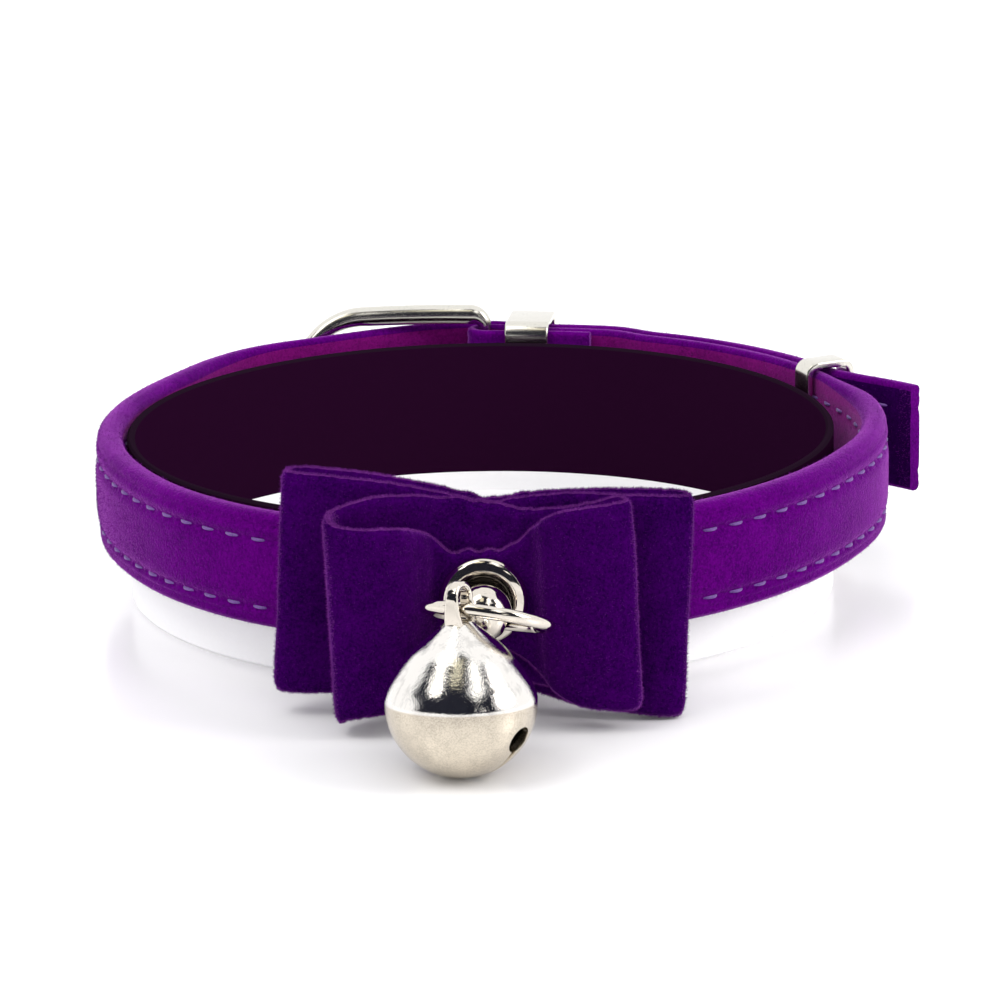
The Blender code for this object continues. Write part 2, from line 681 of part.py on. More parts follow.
def make_washer(group, finish):
    """Dished washer between the front bow and the ball."""
    hole = POST_RADIUS + CLEARANCE
    profile = [(hole, 0), (hole, WASHER_FLOOR_SHARE * WASHER_THICKNESS)]
    for radius, rows in ((WASHER_WELL_RADIUS, WASHER_WELL_PROFILE), (WASHER_RADIUS, WASHER_RIM_PROFILE)):
        for outwards, rise in rows:
            profile.append((radius + outwards * WASHER_THICKNESS, rise * WASHER_THICKNESS))
    washer = turned("stud_washer", profile, group, finish, steps=36, closed=True)
    return along_stud(washer, front_planes()[2])


def ball_centre():
    """Centre of the stud's ball."""
    plane = front_planes()[2] - WASHER_THICKNESS - BALL_STAND_OFF - BALL_SINK_SHARE * BALL_RADIUS
    return Vector((0, plane, STUD_HEIGHT))


def ring_axes():
    """Centre of the jump ring and its plane's side, forward and normal directions."""
    lift = Matrix.Rotation(-math.radians(RING_LIFT), 3, "X")
    turn = Matrix.Rotation(math.radians(RING_ROLL), 3, "Y") @ lift
    side = turn @ Vector((1, 0, 0))
    forward = turn @ Vector((0, -1, 0))
    centre = ball_centre() - Vector((0, 0, EYE_DROP)) + forward * RING_RADIUS
    return centre, side, forward, side.cross(forward)


def make_stud(group, cutters, finish):
    """Ball, post and back plate in one piece, with a cross hole for the jump ring."""
    ball = ball_centre()
    base = front_planes()[2]
    back = -neck_side(FRONT_ANGLE) + CLEARANCE
    middle = base - ball.y
    profile = [(0, middle + BALL_RADIUS)]
    for step in range(1, 9):
        turn = math.radians(90 - BALL_ARC * step / 8)
        profile.append((BALL_RADIUS * math.cos(turn), middle + BALL_RADIUS * math.sin(turn)))
    foot = middle - BALL_RADIUS * math.sin(math.acos(POST_RADIUS / BALL_RADIUS))
    plate = base - back
    profile += [(POST_RADIUS, foot), (POST_RADIUS, plate), (STUD_BACK_RADIUS, plate),
                (STUD_BACK_RADIUS, plate - STUD_BACK_THICKNESS), (0, plate - STUD_BACK_THICKNESS)]
    stud = along_stud(turned("stud", profile, group, finish, steps=24), base)
    centre, side, forward, normal = ring_axes()
    section = RING_WIRE_RADIUS + CLEARANCE
    rings = []
    for turn in np.radians(np.linspace(-STUD_EYE_ARC, STUD_EYE_ARC, 9)):
        spot = centre + RING_RADIUS * (math.sin(turn) * side - math.cos(turn) * forward)
        outward = (spot - centre).normalized()
        rings.append([spot + section * (math.cos(a) * outward + math.sin(a) * normal)
                      for a in np.linspace(0, 2 * math.pi, 12, endpoint=False)])
    subtract(stud, loft("eye_cutter", rings, cutters))
    return stud


def make_jump_ring(group, finish):
    """Round wire ring through the ball and the bell's lug."""
    centre, side, forward, normal = ring_axes()
    bpy.ops.mesh.primitive_torus_add(major_radius=RING_RADIUS, minor_radius=RING_WIRE_RADIUS,
                                     major_segments=40, minor_segments=10)
    ring = bpy.context.object
    ring.name = "jump_ring"
    turn = Matrix((side, forward, normal)).transposed().to_4x4()
    ring.matrix_world = Matrix.Translation(centre) @ turn
    return finish_object(ring, group, finish)


def bell_axes():
    """Bell centre on the floor, and the unit vector up its leaning axis."""
    centre, side, forward, normal = ring_axes()
    share = BELL_SIDE_SHIFT / RING_RADIUS
    spot = centre + RING_RADIUS * (share * side + math.sqrt(1 - share * share) * forward)
    reach = BELL_SHOULDER + BELL_WIRE_HEIGHT
    drop = spot.z - BELL_RADIUS
    lean = math.acos(min(drop / reach, 1.0))
    axis = Vector((0, math.sin(lean), math.cos(lean)))
    return spot - axis * reach, axis


def bell_matrix():
    """Places a bell made about +Z with its ball's centre at the origin."""
    centre, axis = bell_axes()
    side = Vector((1, 0, 0))
    turn = Matrix((side, axis.cross(side), axis)).transposed().to_4x4()
    return Matrix.Translation(centre) @ turn


def bell_profile(inset):
    """Half section of the bell, top to bottom, drawn in by an inset."""
    points = [(BELL_NECK_RADIUS, BELL_SHOULDER)]
    for height, radius in reversed(BELL_SHOULDER_PROFILE):
        points.append((BELL_RADIUS * radius, BELL_SHOULDER * height))
    for step in range(1, 9):
        turn = math.radians(-90 * step / 8)
        points.append((BELL_RADIUS * math.cos(turn), BELL_RADIUS * math.sin(turn)))
    if inset:
        shrink = 1 - inset / BELL_RADIUS
        points = [(max(radius - inset, 0.0), height * shrink) for radius, height in points]
    return [(0.0, points[0][1])] + points[:-1] + [(0.0, points[-1][1])]


def make_bell(group, cutters, finish):
    """Hollow pressed bell with a lug on top and a slit that ends in two round holes."""
    shell = turned("bell", bell_profile(0.0), group, finish, steps=36)
    hollow = turned("bell_hollow", bell_profile(BELL_WALL), cutters, None, steps=24)
    subtract(shell, hollow)
    slit = math.radians(BELL_SLIT_TURN)
    direction = Vector((math.cos(slit), math.sin(slit), 0))
    drop = math.radians(BELL_HOLE_DROP)
    for sign in (1, -1):
        axis = (sign * direction * math.cos(drop) - Vector((0, 0, math.sin(drop)))).normalized()
        builder = bmesh.new()
        turn = axis.to_track_quat("Z", "Y").to_matrix().to_4x4()
        place = Matrix.Translation(axis * BELL_RADIUS) @ turn
        bmesh.ops.create_cone(builder, cap_ends=True, segments=16, radius1=BELL_HOLE_RADIUS,
                              radius2=BELL_HOLE_RADIUS, depth=BELL_RADIUS, matrix=place)
        subtract(shell, mesh_object("bell_hole_cutter", builder, cutters))
    builder = bmesh.new()
    low = -BELL_RADIUS * 1.1
    high = -BELL_RADIUS * math.sin(drop)
    size = (2.2 * BELL_RADIUS, BELL_SLIT_WIDTH, high - low)
    place = Matrix.Rotation(slit, 4, "Z") @ Matrix.Translation((0, 0, (low + high) / 2))
    bmesh.ops.create_cube(builder, size=1.0, matrix=place @ Matrix.Diagonal((*size, 1.0)))
    subtract(shell, mesh_object("bell_slit_cutter", builder, cutters))
    shell = bake(shell, group, finish)
    lug = make_lug(cutters)
    join = shell.modifiers.new("lug", "BOOLEAN")
    join.operation = "UNION"
    join.solver = "EXACT"
    join.object = lug
    shell = bake(shell, group, finish)
    bpy.data.objects.remove(lug)
    shell.matrix_world = bell_matrix()
    for helper in cutters.objects:
        if helper.name.startswith("bell_"):
            helper.matrix_world = bell_matrix() @ helper.matrix_world
    return shell


def make_lug(group):
    """Flat strip bent into an arch on the bell's neck."""
    radius = BELL_LUG_RADIUS
    path = [(-BELL_LUG_FOOT * radius, -BELL_LUG_ROOT * radius)]
    for step in range(9):
        turn = math.radians(180 - 180 * step / 8)
        path.append((radius * math.cos(turn), BELL_LUG_STRAIGHT + radius * math.sin(turn)))
    path.append((BELL_LUG_FOOT * radius, -BELL_LUG_ROOT * radius))
    rings = []
    swing = Matrix.Rotation(math.pi / 2 + math.asin(BELL_SIDE_SHIFT / RING_RADIUS), 4, "Z")
    middle = [Vector((side, 0, level)) for side, level in path]
    for index, point in enumerate(middle):
        before = middle[max(index - 1, 0)]
        after = middle[min(index + 1, len(middle) - 1)]
        along = (after - before).normalized()
        across = Vector((along.z, 0, -along.x)) * BELL_LUG_THICKNESS / 2
        edge = Vector((0, BELL_LUG_WIDTH / 2, 0))
        lifted = point + Vector((0, 0, BELL_SHOULDER + BELL_WIRE_HEIGHT))
        section = [lifted + across + edge, lifted - across + edge, lifted - across - edge,
                   lifted + across - edge]
        rings.append([swing @ corner for corner in section])
    return loft("lug", rings, group)


def make_clapper(group, finish):
    """Loose ball that rests in the bottom of the bell."""
    centre, axis = bell_axes()
    rest = BELL_RADIUS - BELL_WALL - CLEARANCE - CLAPPER_RADIUS
    bpy.ops.mesh.primitive_uv_sphere_add(radius=CLAPPER_RADIUS, segments=14, ring_count=8)
    ball = bpy.context.object
    ball.name = "bell_clapper"
    ball.location = centre - Vector((0, 0, rest))
    return finish_object(ball, group, finish)


def stand_on_origin(parts, root):
    """Shift everything so that the middle of the footprint is the origin."""
    bpy.context.view_layer.update()
    spots = []
    graph = bpy.context.evaluated_depsgraph_get()
    for obj in parts.objects:
        evaluated = obj.evaluated_get(graph)
        spots += [evaluated.matrix_world @ vertex.co for vertex in evaluated.data.vertices]
    low = [min(spot[axis] for spot in spots) for axis in range(3)]
    high = [max(spot[axis] for spot in spots) for axis in range(3)]
    root.location = (-(low[0] + high[0]) / 2, -(low[1] + high[1]) / 2, -low[2])


def build_collar():
    """Model every piece and stand the collar on its origin."""
    for obj in list(bpy.data.objects):
        bpy.data.objects.remove(obj)
    parts = bpy.data.collections.new("pet_bow_tie_collar")
    cutters = bpy.data.collections.new("cutters")
    for group in (parts, cutters):
        bpy.context.scene.collection.children.link(group)
    velvet = material("purple velvet", (0.14, 0.01, 0.27), 0.85)
    ribbon = material("purple ribbon", (0.09, 0.004, 0.19), 0.85)
    steel = material("bright nickel", (0.80, 0.78, 0.74), 0.15, 1.0)
    plastic = material("display plastic", (0.62, 0.62, 0.66), 0.4)
    keepers = keeper_rows()
    back_plane, front_plane, washer_plane = front_planes()
    make_strap(parts, cutters, velvet)
    make_display_band(parts, plastic, neck_side_points(keepers))
    make_keeper("keeper_near", keepers[0], parts, steel)
    make_keeper("keeper_far", keepers[1], parts, steel)
    make_buckle_frame(parts, steel)
    make_prong(parts, steel)
    back_walls = bow_walls(BACK_BOW_FRONT_WALL, BACK_BOW_BACK_WALL, BACK_BOW_WIDTH, BACK_BOW_DEPTH,
                           BACK_BOW_HEIGHT, back_plane)
    make_bow("bow_back", back_walls, BACK_BOW_TILT, STUD_HEIGHT, parts, cutters, ribbon)
    front_walls = bow_walls(FRONT_BOW_FRONT_WALL, FRONT_BOW_BACK_WALL, FRONT_BOW_WIDTH, FRONT_BOW_DEPTH,
                            FRONT_BOW_HEIGHT, front_plane)
    front_height = STUD_HEIGHT - FRONT_BOW_DROP
    make_bow("bow_front", front_walls, FRONT_BOW_TILT, front_height, parts, cutters, ribbon)
    make_washer(parts, steel)
    make_stud(parts, cutters, steel)
    make_jump_ring(parts, steel)
    make_bell(parts, cutters, steel)
    make_clapper(parts, steel)
    root = bpy.data.objects.new("collar_root", None)
    parts.objects.link(root)
    bpy.context.view_layer.update()
    for group in (parts, cutters):
        for obj in group.objects:
            if obj is not root:
                obj.parent = root
    parts.objects.unlink(root)
    stand_on_origin(parts, root)
    parts.objects.link(root)


build_collar()
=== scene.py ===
"""Looks of a pet bow tie collar that stands on a display band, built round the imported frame."""
import math

import bmesh
import bpy
import numpy as np
from mathutils import Matrix, Vector, noise


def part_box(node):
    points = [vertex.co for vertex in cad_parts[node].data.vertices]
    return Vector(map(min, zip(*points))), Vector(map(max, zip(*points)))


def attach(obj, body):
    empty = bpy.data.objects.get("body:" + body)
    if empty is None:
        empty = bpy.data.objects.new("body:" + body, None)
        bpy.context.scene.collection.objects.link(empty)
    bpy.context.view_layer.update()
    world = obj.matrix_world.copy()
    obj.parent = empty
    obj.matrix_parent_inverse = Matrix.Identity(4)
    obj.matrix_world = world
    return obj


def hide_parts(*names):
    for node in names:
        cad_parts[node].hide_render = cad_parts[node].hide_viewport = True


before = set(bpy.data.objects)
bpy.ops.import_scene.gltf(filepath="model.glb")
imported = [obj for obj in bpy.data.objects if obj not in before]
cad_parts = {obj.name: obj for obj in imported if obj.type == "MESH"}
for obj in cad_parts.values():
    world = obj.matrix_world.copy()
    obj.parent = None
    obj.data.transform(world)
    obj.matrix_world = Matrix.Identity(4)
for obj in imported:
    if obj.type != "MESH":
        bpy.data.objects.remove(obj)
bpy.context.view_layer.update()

MM = 0.001
UP = Vector((0, 0, 1))

# Sizes that the frame shares: strap, display band and the places round the neck
CLEARANCE = 0.3 * MM
NECK_RADIUS = 33.0 * MM
STRAP_WIDTH = 10.0 * MM
STRAP_HEIGHT_OFF_FLOOR = 5.2 * MM
PAD_THICKNESS = 2.3 * MM
END_THICKNESS = 1.2 * MM
FOLD_THICKNESS = 0.9 * MM
FOLD_LENGTH = 11.0 * MM
TAIL_FLARE = 4.6 * MM
TAIL_FLARE_POWER = 1.3
STRAP_CORNER_SHARE = 0.42
HOLE_DIAMETER = 1.8 * MM
HOLE_PITCH = 12.5 * MM
HOLES_TOWARDS_TAIL = 3
HOLES_PAST_PRONG = 1
TAIL_END_ANGLE = 12.6
FAR_KEEPER_ANGLE = 26.0
HINGE_ANGLE = 89.0
FRAME_END_ANGLE = 118.0
STEP_LEAD = 10
STEP_RUN = 8
FRONT_ANGLE = 270.0
DISPLAY_WALL = 0.7 * MM
DISPLAY_FOOT = 1.9 * MM
DISPLAY_SKIRT_GAP = 0.4 * MM
DISPLAY_ROUND = 0.2 * MM
DISPLAY_SHIFT_Y = -0.3 * MM
STRAP_MIDDLE = STRAP_HEIGHT_OFF_FLOOR + STRAP_WIDTH / 2

# Buckle and keepers
HINGE_BAR_RADIUS = 0.6 * MM
SIDE_BAR_RADIUS = 0.95 * MM
END_BAR_RADIUS = 0.75 * MM
PRONG_RADIUS = 0.45 * MM
PRONG_RISE = 3.0 * MM
PRONG_HOLE_SHARE = 0.9
PRONG_OVERHANG = 1.6 * MM
PRONG_SLOT_LENGTH = 4.4 * MM
KEEPER_WALL = 0.7 * MM
NEAR_KEEPER_WIDTH = 4.2 * MM
NEAR_KEEPER_GAP = 4.4 * MM
FAR_KEEPER_WIDTH = 2.4 * MM
KEEPER_CORNER = 1.3 * MM
KEEPER_EDGE_SHARE = 0.3

# Bows, stud, jump ring and bell
RIBBON_WALL = 1.0 * MM
RIBBON_CLOTH_SHARE = 0.9
GATHER_REACH = 3.6 * MM
BACK_BOW_WIDTH = 32.9 * MM
BACK_BOW_HEIGHT = 18.6 * MM
BACK_BOW_DEPTH = 5.0 * MM
BACK_BOW_TILT = -3.4
FRONT_BOW_WIDTH = 24.2 * MM
FRONT_BOW_HEIGHT = 17.6 * MM
FRONT_BOW_DEPTH = 5.0 * MM
FRONT_BOW_TILT = 2.0
FRONT_BOW_DROP = 0.3 * MM
STUD_RISE = 0.4 * MM
POST_RADIUS = 1.0 * MM
WASHER_RADIUS = 3.65 * MM
WASHER_THICKNESS = 0.9 * MM
WASHER_WELL_RADIUS = 2.5 * MM
BALL_RADIUS = 2.3 * MM
BALL_STAND_OFF = 0.5 * MM
BALL_SINK_SHARE = 0.86
EYE_DROP = 0.7 * MM
EYE_ARC = 40.0
STUD_BACK_RADIUS = 2.3 * MM
STUD_BACK_THICKNESS = 0.6 * MM
RING_RADIUS = 4.95 * MM
RING_WIRE_RADIUS = 0.53 * MM
RING_LIFT = 20.5
RING_ROLL = 10.0
RING_JOINT_ANGLE = 60.0
RING_JOINT_GAP = 0.9
RING_END_SHARE = 0.92
BELL_RADIUS = 6.1 * MM
BELL_WALL = 0.5 * MM
BELL_SHOULDER = 6.5 * MM
BELL_NECK_RADIUS = 0.95 * MM
BELL_SIDE_SHIFT = -2.5 * MM
BELL_LUG_RADIUS = 1.15 * MM
BELL_LUG_STRAIGHT = 0.8 * MM
BELL_WIRE_HEIGHT = 0.95 * MM
BELL_LUG_WIDTH = 1.3 * MM
BELL_LUG_THICKNESS = 0.5 * MM
BELL_LUG_EDGE_SHARE = 0.49
BELL_LUG_TOP_SHARE = 0.72
BELL_LUG_SPREAD = 0.55
BELL_LUG_REACH = 2.6
BELL_HOLE_RADIUS = 1.15 * MM
BELL_SLIT_WIDTH = 0.6 * MM
BELL_LIP = 0.07 * MM
BELL_SLIT_TURN = -34.0
BELL_HOLE_DROP = 25.0
STUD_HEIGHT = STRAP_MIDDLE + STUD_RISE

# Stitching and padding of the strap, which only this script makes
STITCH_PITCH = 2.8 * MM
STITCH_LENGTH = 1.7 * MM
STITCH_TIP_GAP = 2.2 * MM
STITCH_FOLD_GAP = 3.0 * MM
THREAD_RADIUS = 0.15 * MM
LOWER_ROW = -STRAP_WIDTH / 2 + 1.8 * MM
UPPER_ROW = STRAP_WIDTH / 2 - 2.3 * MM
FOLD_LINE = STRAP_WIDTH / 2 - 1.0 * MM
GROOVE_DEPTH = 0.22 * MM
GROOVE_WIDTH = 0.5 * MM
THIN_GROOVE_SHARE = 0.35
NEEDLE_DEPTH = 0.18 * MM
NEEDLE_WIDTH = 0.26 * MM
CROWN = 0.16 * MM
CREASE_DEPTH = 0.20 * MM
THIN_CREASE_SHARE = 0.2
LINING_RELIEF_SHARE = 0.4
STATION_LENGTH = 0.35 * MM
FACE_COLUMNS = 44
LINING_COLUMNS = 26

# Loose fibres of the velvet
FIBRE_THICKNESS = 0.021 * MM
FIBRE_ROOT_DEPTH = 0.03 * MM
STRAP_FIBRE_LENGTH = 0.24 * MM
RIBBON_FIBRE_LENGTH = 0.27 * MM
STRAP_FIBRES = 42000
RIBBON_FIBRES = 40000
FIBRE_LEAN = 0.55

# Where more fibres stand: left and right ends, upper and lower rims, and the ribbon's cut edges
LOOP_END_SHARE = 0.86
LOOP_END_FACING = 0.7
LOOP_END_CHANCE = 8
RIM_FACING = 0.5
RIM_CHANCE = 2
CUT_EDGE_CHANCE = 24

# Plan of the strap's neck side: angle in degrees, share of the neck radius
NECK_PLAN = (
    (0, 1.035), (10, 1.036), (18, 1.030), (26, 1.033), (45, 1.026), (62, 1.018), (78, 1.000),
    (90, 0.998), (104, 1.024), (118, 1.048), (128, 1.046), (136, 1.018), (146, 0.980), (158, 0.966),
    (180, 0.969), (205, 0.983), (225, 1.018), (245, 1.050), (270, 1.058), (292, 1.040),
    (315, 1.015), (335, 1.010), (350, 1.028),
)

# Thickness along the strap: angle in degrees, share of the way from end to pad thickness
PAD_PLAN = ((118, 0.0), (148, 1.0), (368, 1.0), (383, 0.0))

# Bow walls: share of the half width, how far the wall stands forward of its own waist as
# a share of the bow's depth, and share of the bow's height
BACK_BOW_FRONT_WALL = (
    (1.00, 0.45, 1.0), (0.95, 0.58, 1.0), (0.75, 0.54, 0.99), (0.55, 0.40, 0.97), (0.40, 0.24, 0.94),
    (0.24, 0.08, 0.88), (0.00, 0.00, 0.80), (-0.24, 0.03, 0.87), (-0.49, 0.08, 0.94),
    (-0.73, 0.12, 0.98), (-0.95, 0.10, 1.0), (-1.00, -0.04, 1.0),
)
BACK_BOW_BACK_WALL = (
    (-0.95, -0.02, 1.0), (-0.73, -0.02, 0.99), (-0.49, -0.01, 0.95), (-0.24, -0.01, 0.88),
    (0.00, 0.00, 0.80), (0.24, 0.05, 0.88), (0.49, 0.26, 0.95), (0.73, 0.42, 0.99), (0.95, 0.45, 1.0),
)
FRONT_BOW_FRONT_WALL = (
    (1.00, 0.60, 0.99), (0.94, 0.74, 0.99), (0.78, 0.76, 0.97), (0.60, 0.66, 0.93), (0.46, 0.42, 0.84),
    (0.40, 0.18, 0.74), (0.33, 0.00, 0.64), (0.14, 0.00, 0.47), (-0.04, 0.00, 0.49),
    (-0.20, 0.00, 0.50), (-0.33, 0.00, 0.64), (-0.42, 0.32, 0.75), (-0.57, 0.80, 0.86),
    (-0.80, 0.93, 0.89), (-0.96, 0.86, 0.93), (-1.00, 0.66, 0.98),
)
FRONT_BOW_BACK_WALL = (
    (-0.95, 0.46, 0.98), (-0.72, 0.25, 1.04), (-0.48, 0.12, 1.03), (-0.24, 0.00, 0.98),
    (0.00, 0.00, 0.92), (0.25, 0.04, 0.84), (0.42, 0.24, 0.85), (0.60, 0.42, 0.89),
    (0.78, 0.55, 0.94), (0.94, 0.62, 1.0),
)

# Half profile of the bell above its middle: share of the shoulder height, share of the radius
BELL_SHOULDER_PROFILE = ((0.06, 0.995), (0.25, 0.91), (0.45, 0.77), (0.65, 0.60), (0.85, 0.35))

# Left foot of the bell's lug, from its end up: side and height as shares of the lug's radius
BELL_LUG_FOOT = ((-0.62, -1.9), (-0.72, -1.2), (-0.93, -0.4))

# Neck centre on the floor, from the display band that the strap stands round
BAND_LOW, BAND_HIGH = (Vector(corner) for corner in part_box("display_band"))
BAND_CENTRE = Vector(((BAND_LOW.x + BAND_HIGH.x) / 2, (BAND_LOW.y + BAND_HIGH.y) / 2, 0))
NECK = BAND_CENTRE - Vector((0, DISPLAY_SHIFT_Y, 0))


def smooth(value):
    """Ease from 0 to 1."""
    value = min(max(value, 0.0), 1.0)
    return value * value * (3 - 2 * value)


def through(rows, value, period=None):
    """Smooth curve through table rows of (place, amount), read at one place."""
    places = [row[0] for row in rows]
    amounts = [row[1] for row in rows]
    if period:
        value = places[0] + (value - places[0]) % period
        places = [places[-1] - period, *places, places[0] + period, places[1] + period]
        amounts = [amounts[-1], *amounts, amounts[0], amounts[1]]
    if value <= places[0]:
        return amounts[0]
    if value >= places[-1]:
        return amounts[-1]
    index = max(k for k in range(len(places) - 1) if places[k] <= value)
    step = places[index + 1] - places[index]
    share = (value - places[index]) / step
    slopes = []
    for knot in (index, index + 1):
        low = max(knot - 1, 0)
        high = min(knot + 1, len(places) - 1)
        slopes.append((amounts[high] - amounts[low]) / (places[high] - places[low]))
    square = share * share
    cube = square * share
    return ((2 * cube - 3 * square + 1) * amounts[index] + (cube - 2 * square + share) * step * slopes[0]
            + (3 * square - 2 * cube) * amounts[index + 1] + (cube - square) * step * slopes[1])


def curve_through(points, stations, closed):
    """Smooth curve through a few points, closed or open."""
    count = len(points)
    corners = [Vector(point) for point in points]
    marks = [0.0]
    for k in range(count if closed else count - 1):
        gap = corners[(k + 1) % count] - corners[k]
        marks.append(marks[-1] + (gap.xy.length ** 0.5 if closed else gap.length))
    rows = [[(marks[k], corners[k][axis]) for k in range(count)] for axis in range(3)]
    period = marks[-1] if closed else None
    last = stations if closed else stations - 1
    return [Vector([through(row, marks[-1] * k / last, period) for row in rows]) for k in range(stations)]


def polar(angle, radius, height=0.0):
    """Point at an angle round the neck, relative to the neck's centre."""
    turn = math.radians(angle)
    return Vector((radius * math.cos(turn), radius * math.sin(turn), height))


def neck_side(angle):
    """Radius of the strap's neck side."""
    return NECK_RADIUS * through(NECK_PLAN, angle, 360)


def arc_degrees(length):
    """Angle that a length takes up round the back of the neck."""
    return math.degrees(length / (NECK_RADIUS + 2 * END_THICKNESS))


FOLD_END_ANGLE = HINGE_ANGLE - arc_degrees(FOLD_LENGTH)
BAR_TO_FOLD = HINGE_BAR_RADIUS + CLEARANCE + FOLD_THICKNESS / 2
HINGE_RADIUS = neck_side(HINGE_ANGLE) + FOLD_THICKNESS / 2 + BAR_TO_FOLD


def strap_thickness(angle):
    """Thickness of the strap that lies next to the neck, for angles from the frame's end on."""
    share = 0.0
    for (low, first), (high, last) in zip(PAD_PLAN, PAD_PLAN[1:]):
        if low <= angle <= high:
            share = first + (last - first) * smooth((angle - low) / (high - low))
    thickness = END_THICKNESS + (PAD_THICKNESS - END_THICKNESS) * share
    fold = smooth((angle - 360 - FOLD_END_ANGLE) / (HINGE_ANGLE - FOLD_END_ANGLE))
    return thickness + (FOLD_THICKNESS - thickness) * fold


def inner_run(angle):
    """Neck side of the strap from the frame's end, round the front and up to the hinge."""
    start = neck_side(angle)
    past_fold = angle - 360 - FOLD_END_ANGLE
    start += smooth((past_fold + STEP_LEAD) / STEP_RUN) * (FOLD_THICKNESS + CLEARANCE)
    at_hinge = HINGE_RADIUS + BAR_TO_FOLD - FOLD_THICKNESS / 2
    rise = smooth((past_fold - STEP_RUN) / (HINGE_ANGLE - FOLD_END_ANGLE - STEP_RUN))
    return start + (at_hinge - start) * rise


OVER_HINGE = inner_run(HINGE_ANGLE + 360) + FOLD_THICKNESS + CLEARANCE


def outer_run(angle):
    """Neck side of the free end, from the frame's end back over the hinge to its tip."""
    if angle >= HINGE_ANGLE:
        share = smooth((angle - HINGE_ANGLE) / (FRAME_END_ANGLE - HINGE_ANGLE))
        return OVER_HINGE + (neck_side(FRAME_END_ANGLE) - OVER_HINGE) * share
    under = inner_run(angle + 360) + strap_thickness(angle + 360) + CLEARANCE
    flare = max(FAR_KEEPER_ANGLE - angle, 0) / (FAR_KEEPER_ANGLE - TAIL_END_ANGLE)
    padding = strap_thickness(FAR_KEEPER_ANGLE + 360) - strap_thickness(angle + 360)
    return under + TAIL_FLARE * flare ** TAIL_FLARE_POWER + min(padding, 0.0) * flare


def place(obj, node=None):
    """Let a piece ride on the collar, and hide the solid that it replaces."""
    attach(obj, "root")
    if node:
        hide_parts(node)


def add_object(name, data):
    """Object in the scene with a mesh, a camera or a lamp."""
    obj = bpy.data.objects.new(name, data)
    bpy.context.scene.collection.objects.link(obj)
    return obj


def built(name, builder):
    """Mesh of what a mesh builder holds."""
    mesh = bpy.data.meshes.new(name)
    builder.to_mesh(mesh)
    builder.free()
    return mesh


def mesh_object(name, points, faces, materials, picks=None, sharp=40):
    """Smooth-shaded mesh whose faces are turned outwards."""
    mesh = bpy.data.meshes.new(name)
    mesh.from_pydata([tuple(point) for point in points], [], faces)
    for finish in materials:
        mesh.materials.append(finish)
    if picks is not None:
        mesh.polygons.foreach_set("material_index", picks)
    builder = bmesh.new()
    builder.from_mesh(mesh)
    bmesh.ops.remove_doubles(builder, verts=builder.verts, dist=0.0000005)
    bmesh.ops.recalc_face_normals(builder, faces=builder.faces)
    builder.to_mesh(mesh)
    builder.free()
    shade(mesh, sharp)
    return add_object(name, mesh)


def shade(mesh, sharp):
    """Smooth shading but for edges sharper than an angle in degrees."""
    mesh.shade_smooth()
    mesh.set_sharp_from_angle(angle=math.radians(sharp))


def skin_faces(count, width, looped, offset=0, seam=True):
    """Quads between rows of points: a seam joins each row's ends, caps close rows that don't run round."""
    faces = []
    for row in range(count if looped else count - 1):
        here = offset + row * width
        there = offset + (row + 1) % count * width
        for column in range(width if seam else width - 1):
            after = (column + 1) % width
            faces.append((here + column, here + after, there + after, there + column))
    if not looped:
        faces.append(tuple(range(offset, offset + width)))
        faces.append(tuple(range(offset + (count - 1) * width, offset + count * width)))
    return faces


def skinned(name, rows, materials, looped, picks=None, sharp=40):
    """Mesh through rings of points."""
    points = [point for row in rows for point in row]
    return mesh_object(name, points, skin_faces(len(rows), len(rows[0]), looped), materials, picks, sharp)


def directed(path, looped):
    """Points of a path, each with the direction between its neighbours."""
    befores = [path[-1] if looped else path[0], *path[:-1]]
    afters = [*path[1:], path[0] if looped else path[-1]]
    return [(point, (after - before).normalized()) for before, point, after in zip(befores, path, afters)]


def rings_along(path, radii, sides, looped=False):
    """Circles of points square to a path, with as little twist as possible."""
    rings = []
    normal = None
    for index, (point, along) in enumerate(directed(path, looped)):
        if normal is None:
            normal = along.orthogonal().normalized()
        normal = (normal - along * normal.dot(along)).normalized()
        other = along.cross(normal)
        radius = radii[index] if hasattr(radii, "__len__") else radii
        rings.append([point + radius * (math.cos(turn) * normal + math.sin(turn) * other)
                      for turn in np.linspace(0, 2 * math.pi, sides, endpoint=False)])
    return rings


def wire(name, path, radii, sides, finish, looped=False):
    """Round wire along a path of points that are relative to the neck's centre."""
    rings = [[NECK + point for point in ring] for ring in rings_along(path, radii, sides, looped)]
    return skinned(name, rings, [finish], looped)


def turned_mesh(name, profile, steps, materials, matrix, picks=None, closed=False):
    """Profile of (radius, height) points turned about +Z and placed by a matrix."""
    points = []
    for step in range(steps):
        turn = 2 * math.pi * step / steps
        points += [matrix @ Vector((r * math.cos(turn), r * math.sin(turn), h)) for r, h in profile]
    width = len(profile)
    faces = skin_faces(steps, width, True, seam=closed)
    face_picks = (picks or [0] * (width - 1)) * steps
    return mesh_object(name, points, faces, materials, face_picks, sharp=30)


def cut(obj, cutters):
    """Cut closed meshes from a piece and delete them."""
    for cutter in cutters:
        step = obj.modifiers.new("cut", "BOOLEAN")
        step.operation = "DIFFERENCE"
        step.solver = "EXACT"
        step.object = cutter
    apply_modifiers(obj)
    for cutter in cutters:
        bpy.data.objects.remove(cutter)


def apply_modifiers(obj):
    """Replace a piece's mesh by what its modifiers make."""
    bpy.context.view_layer.update()
    evaluated = obj.evaluated_get(bpy.context.evaluated_depsgraph_get())
    mesh = bpy.data.meshes.new_from_object(evaluated)
    obj.modifiers.clear()
    obj.data = mesh


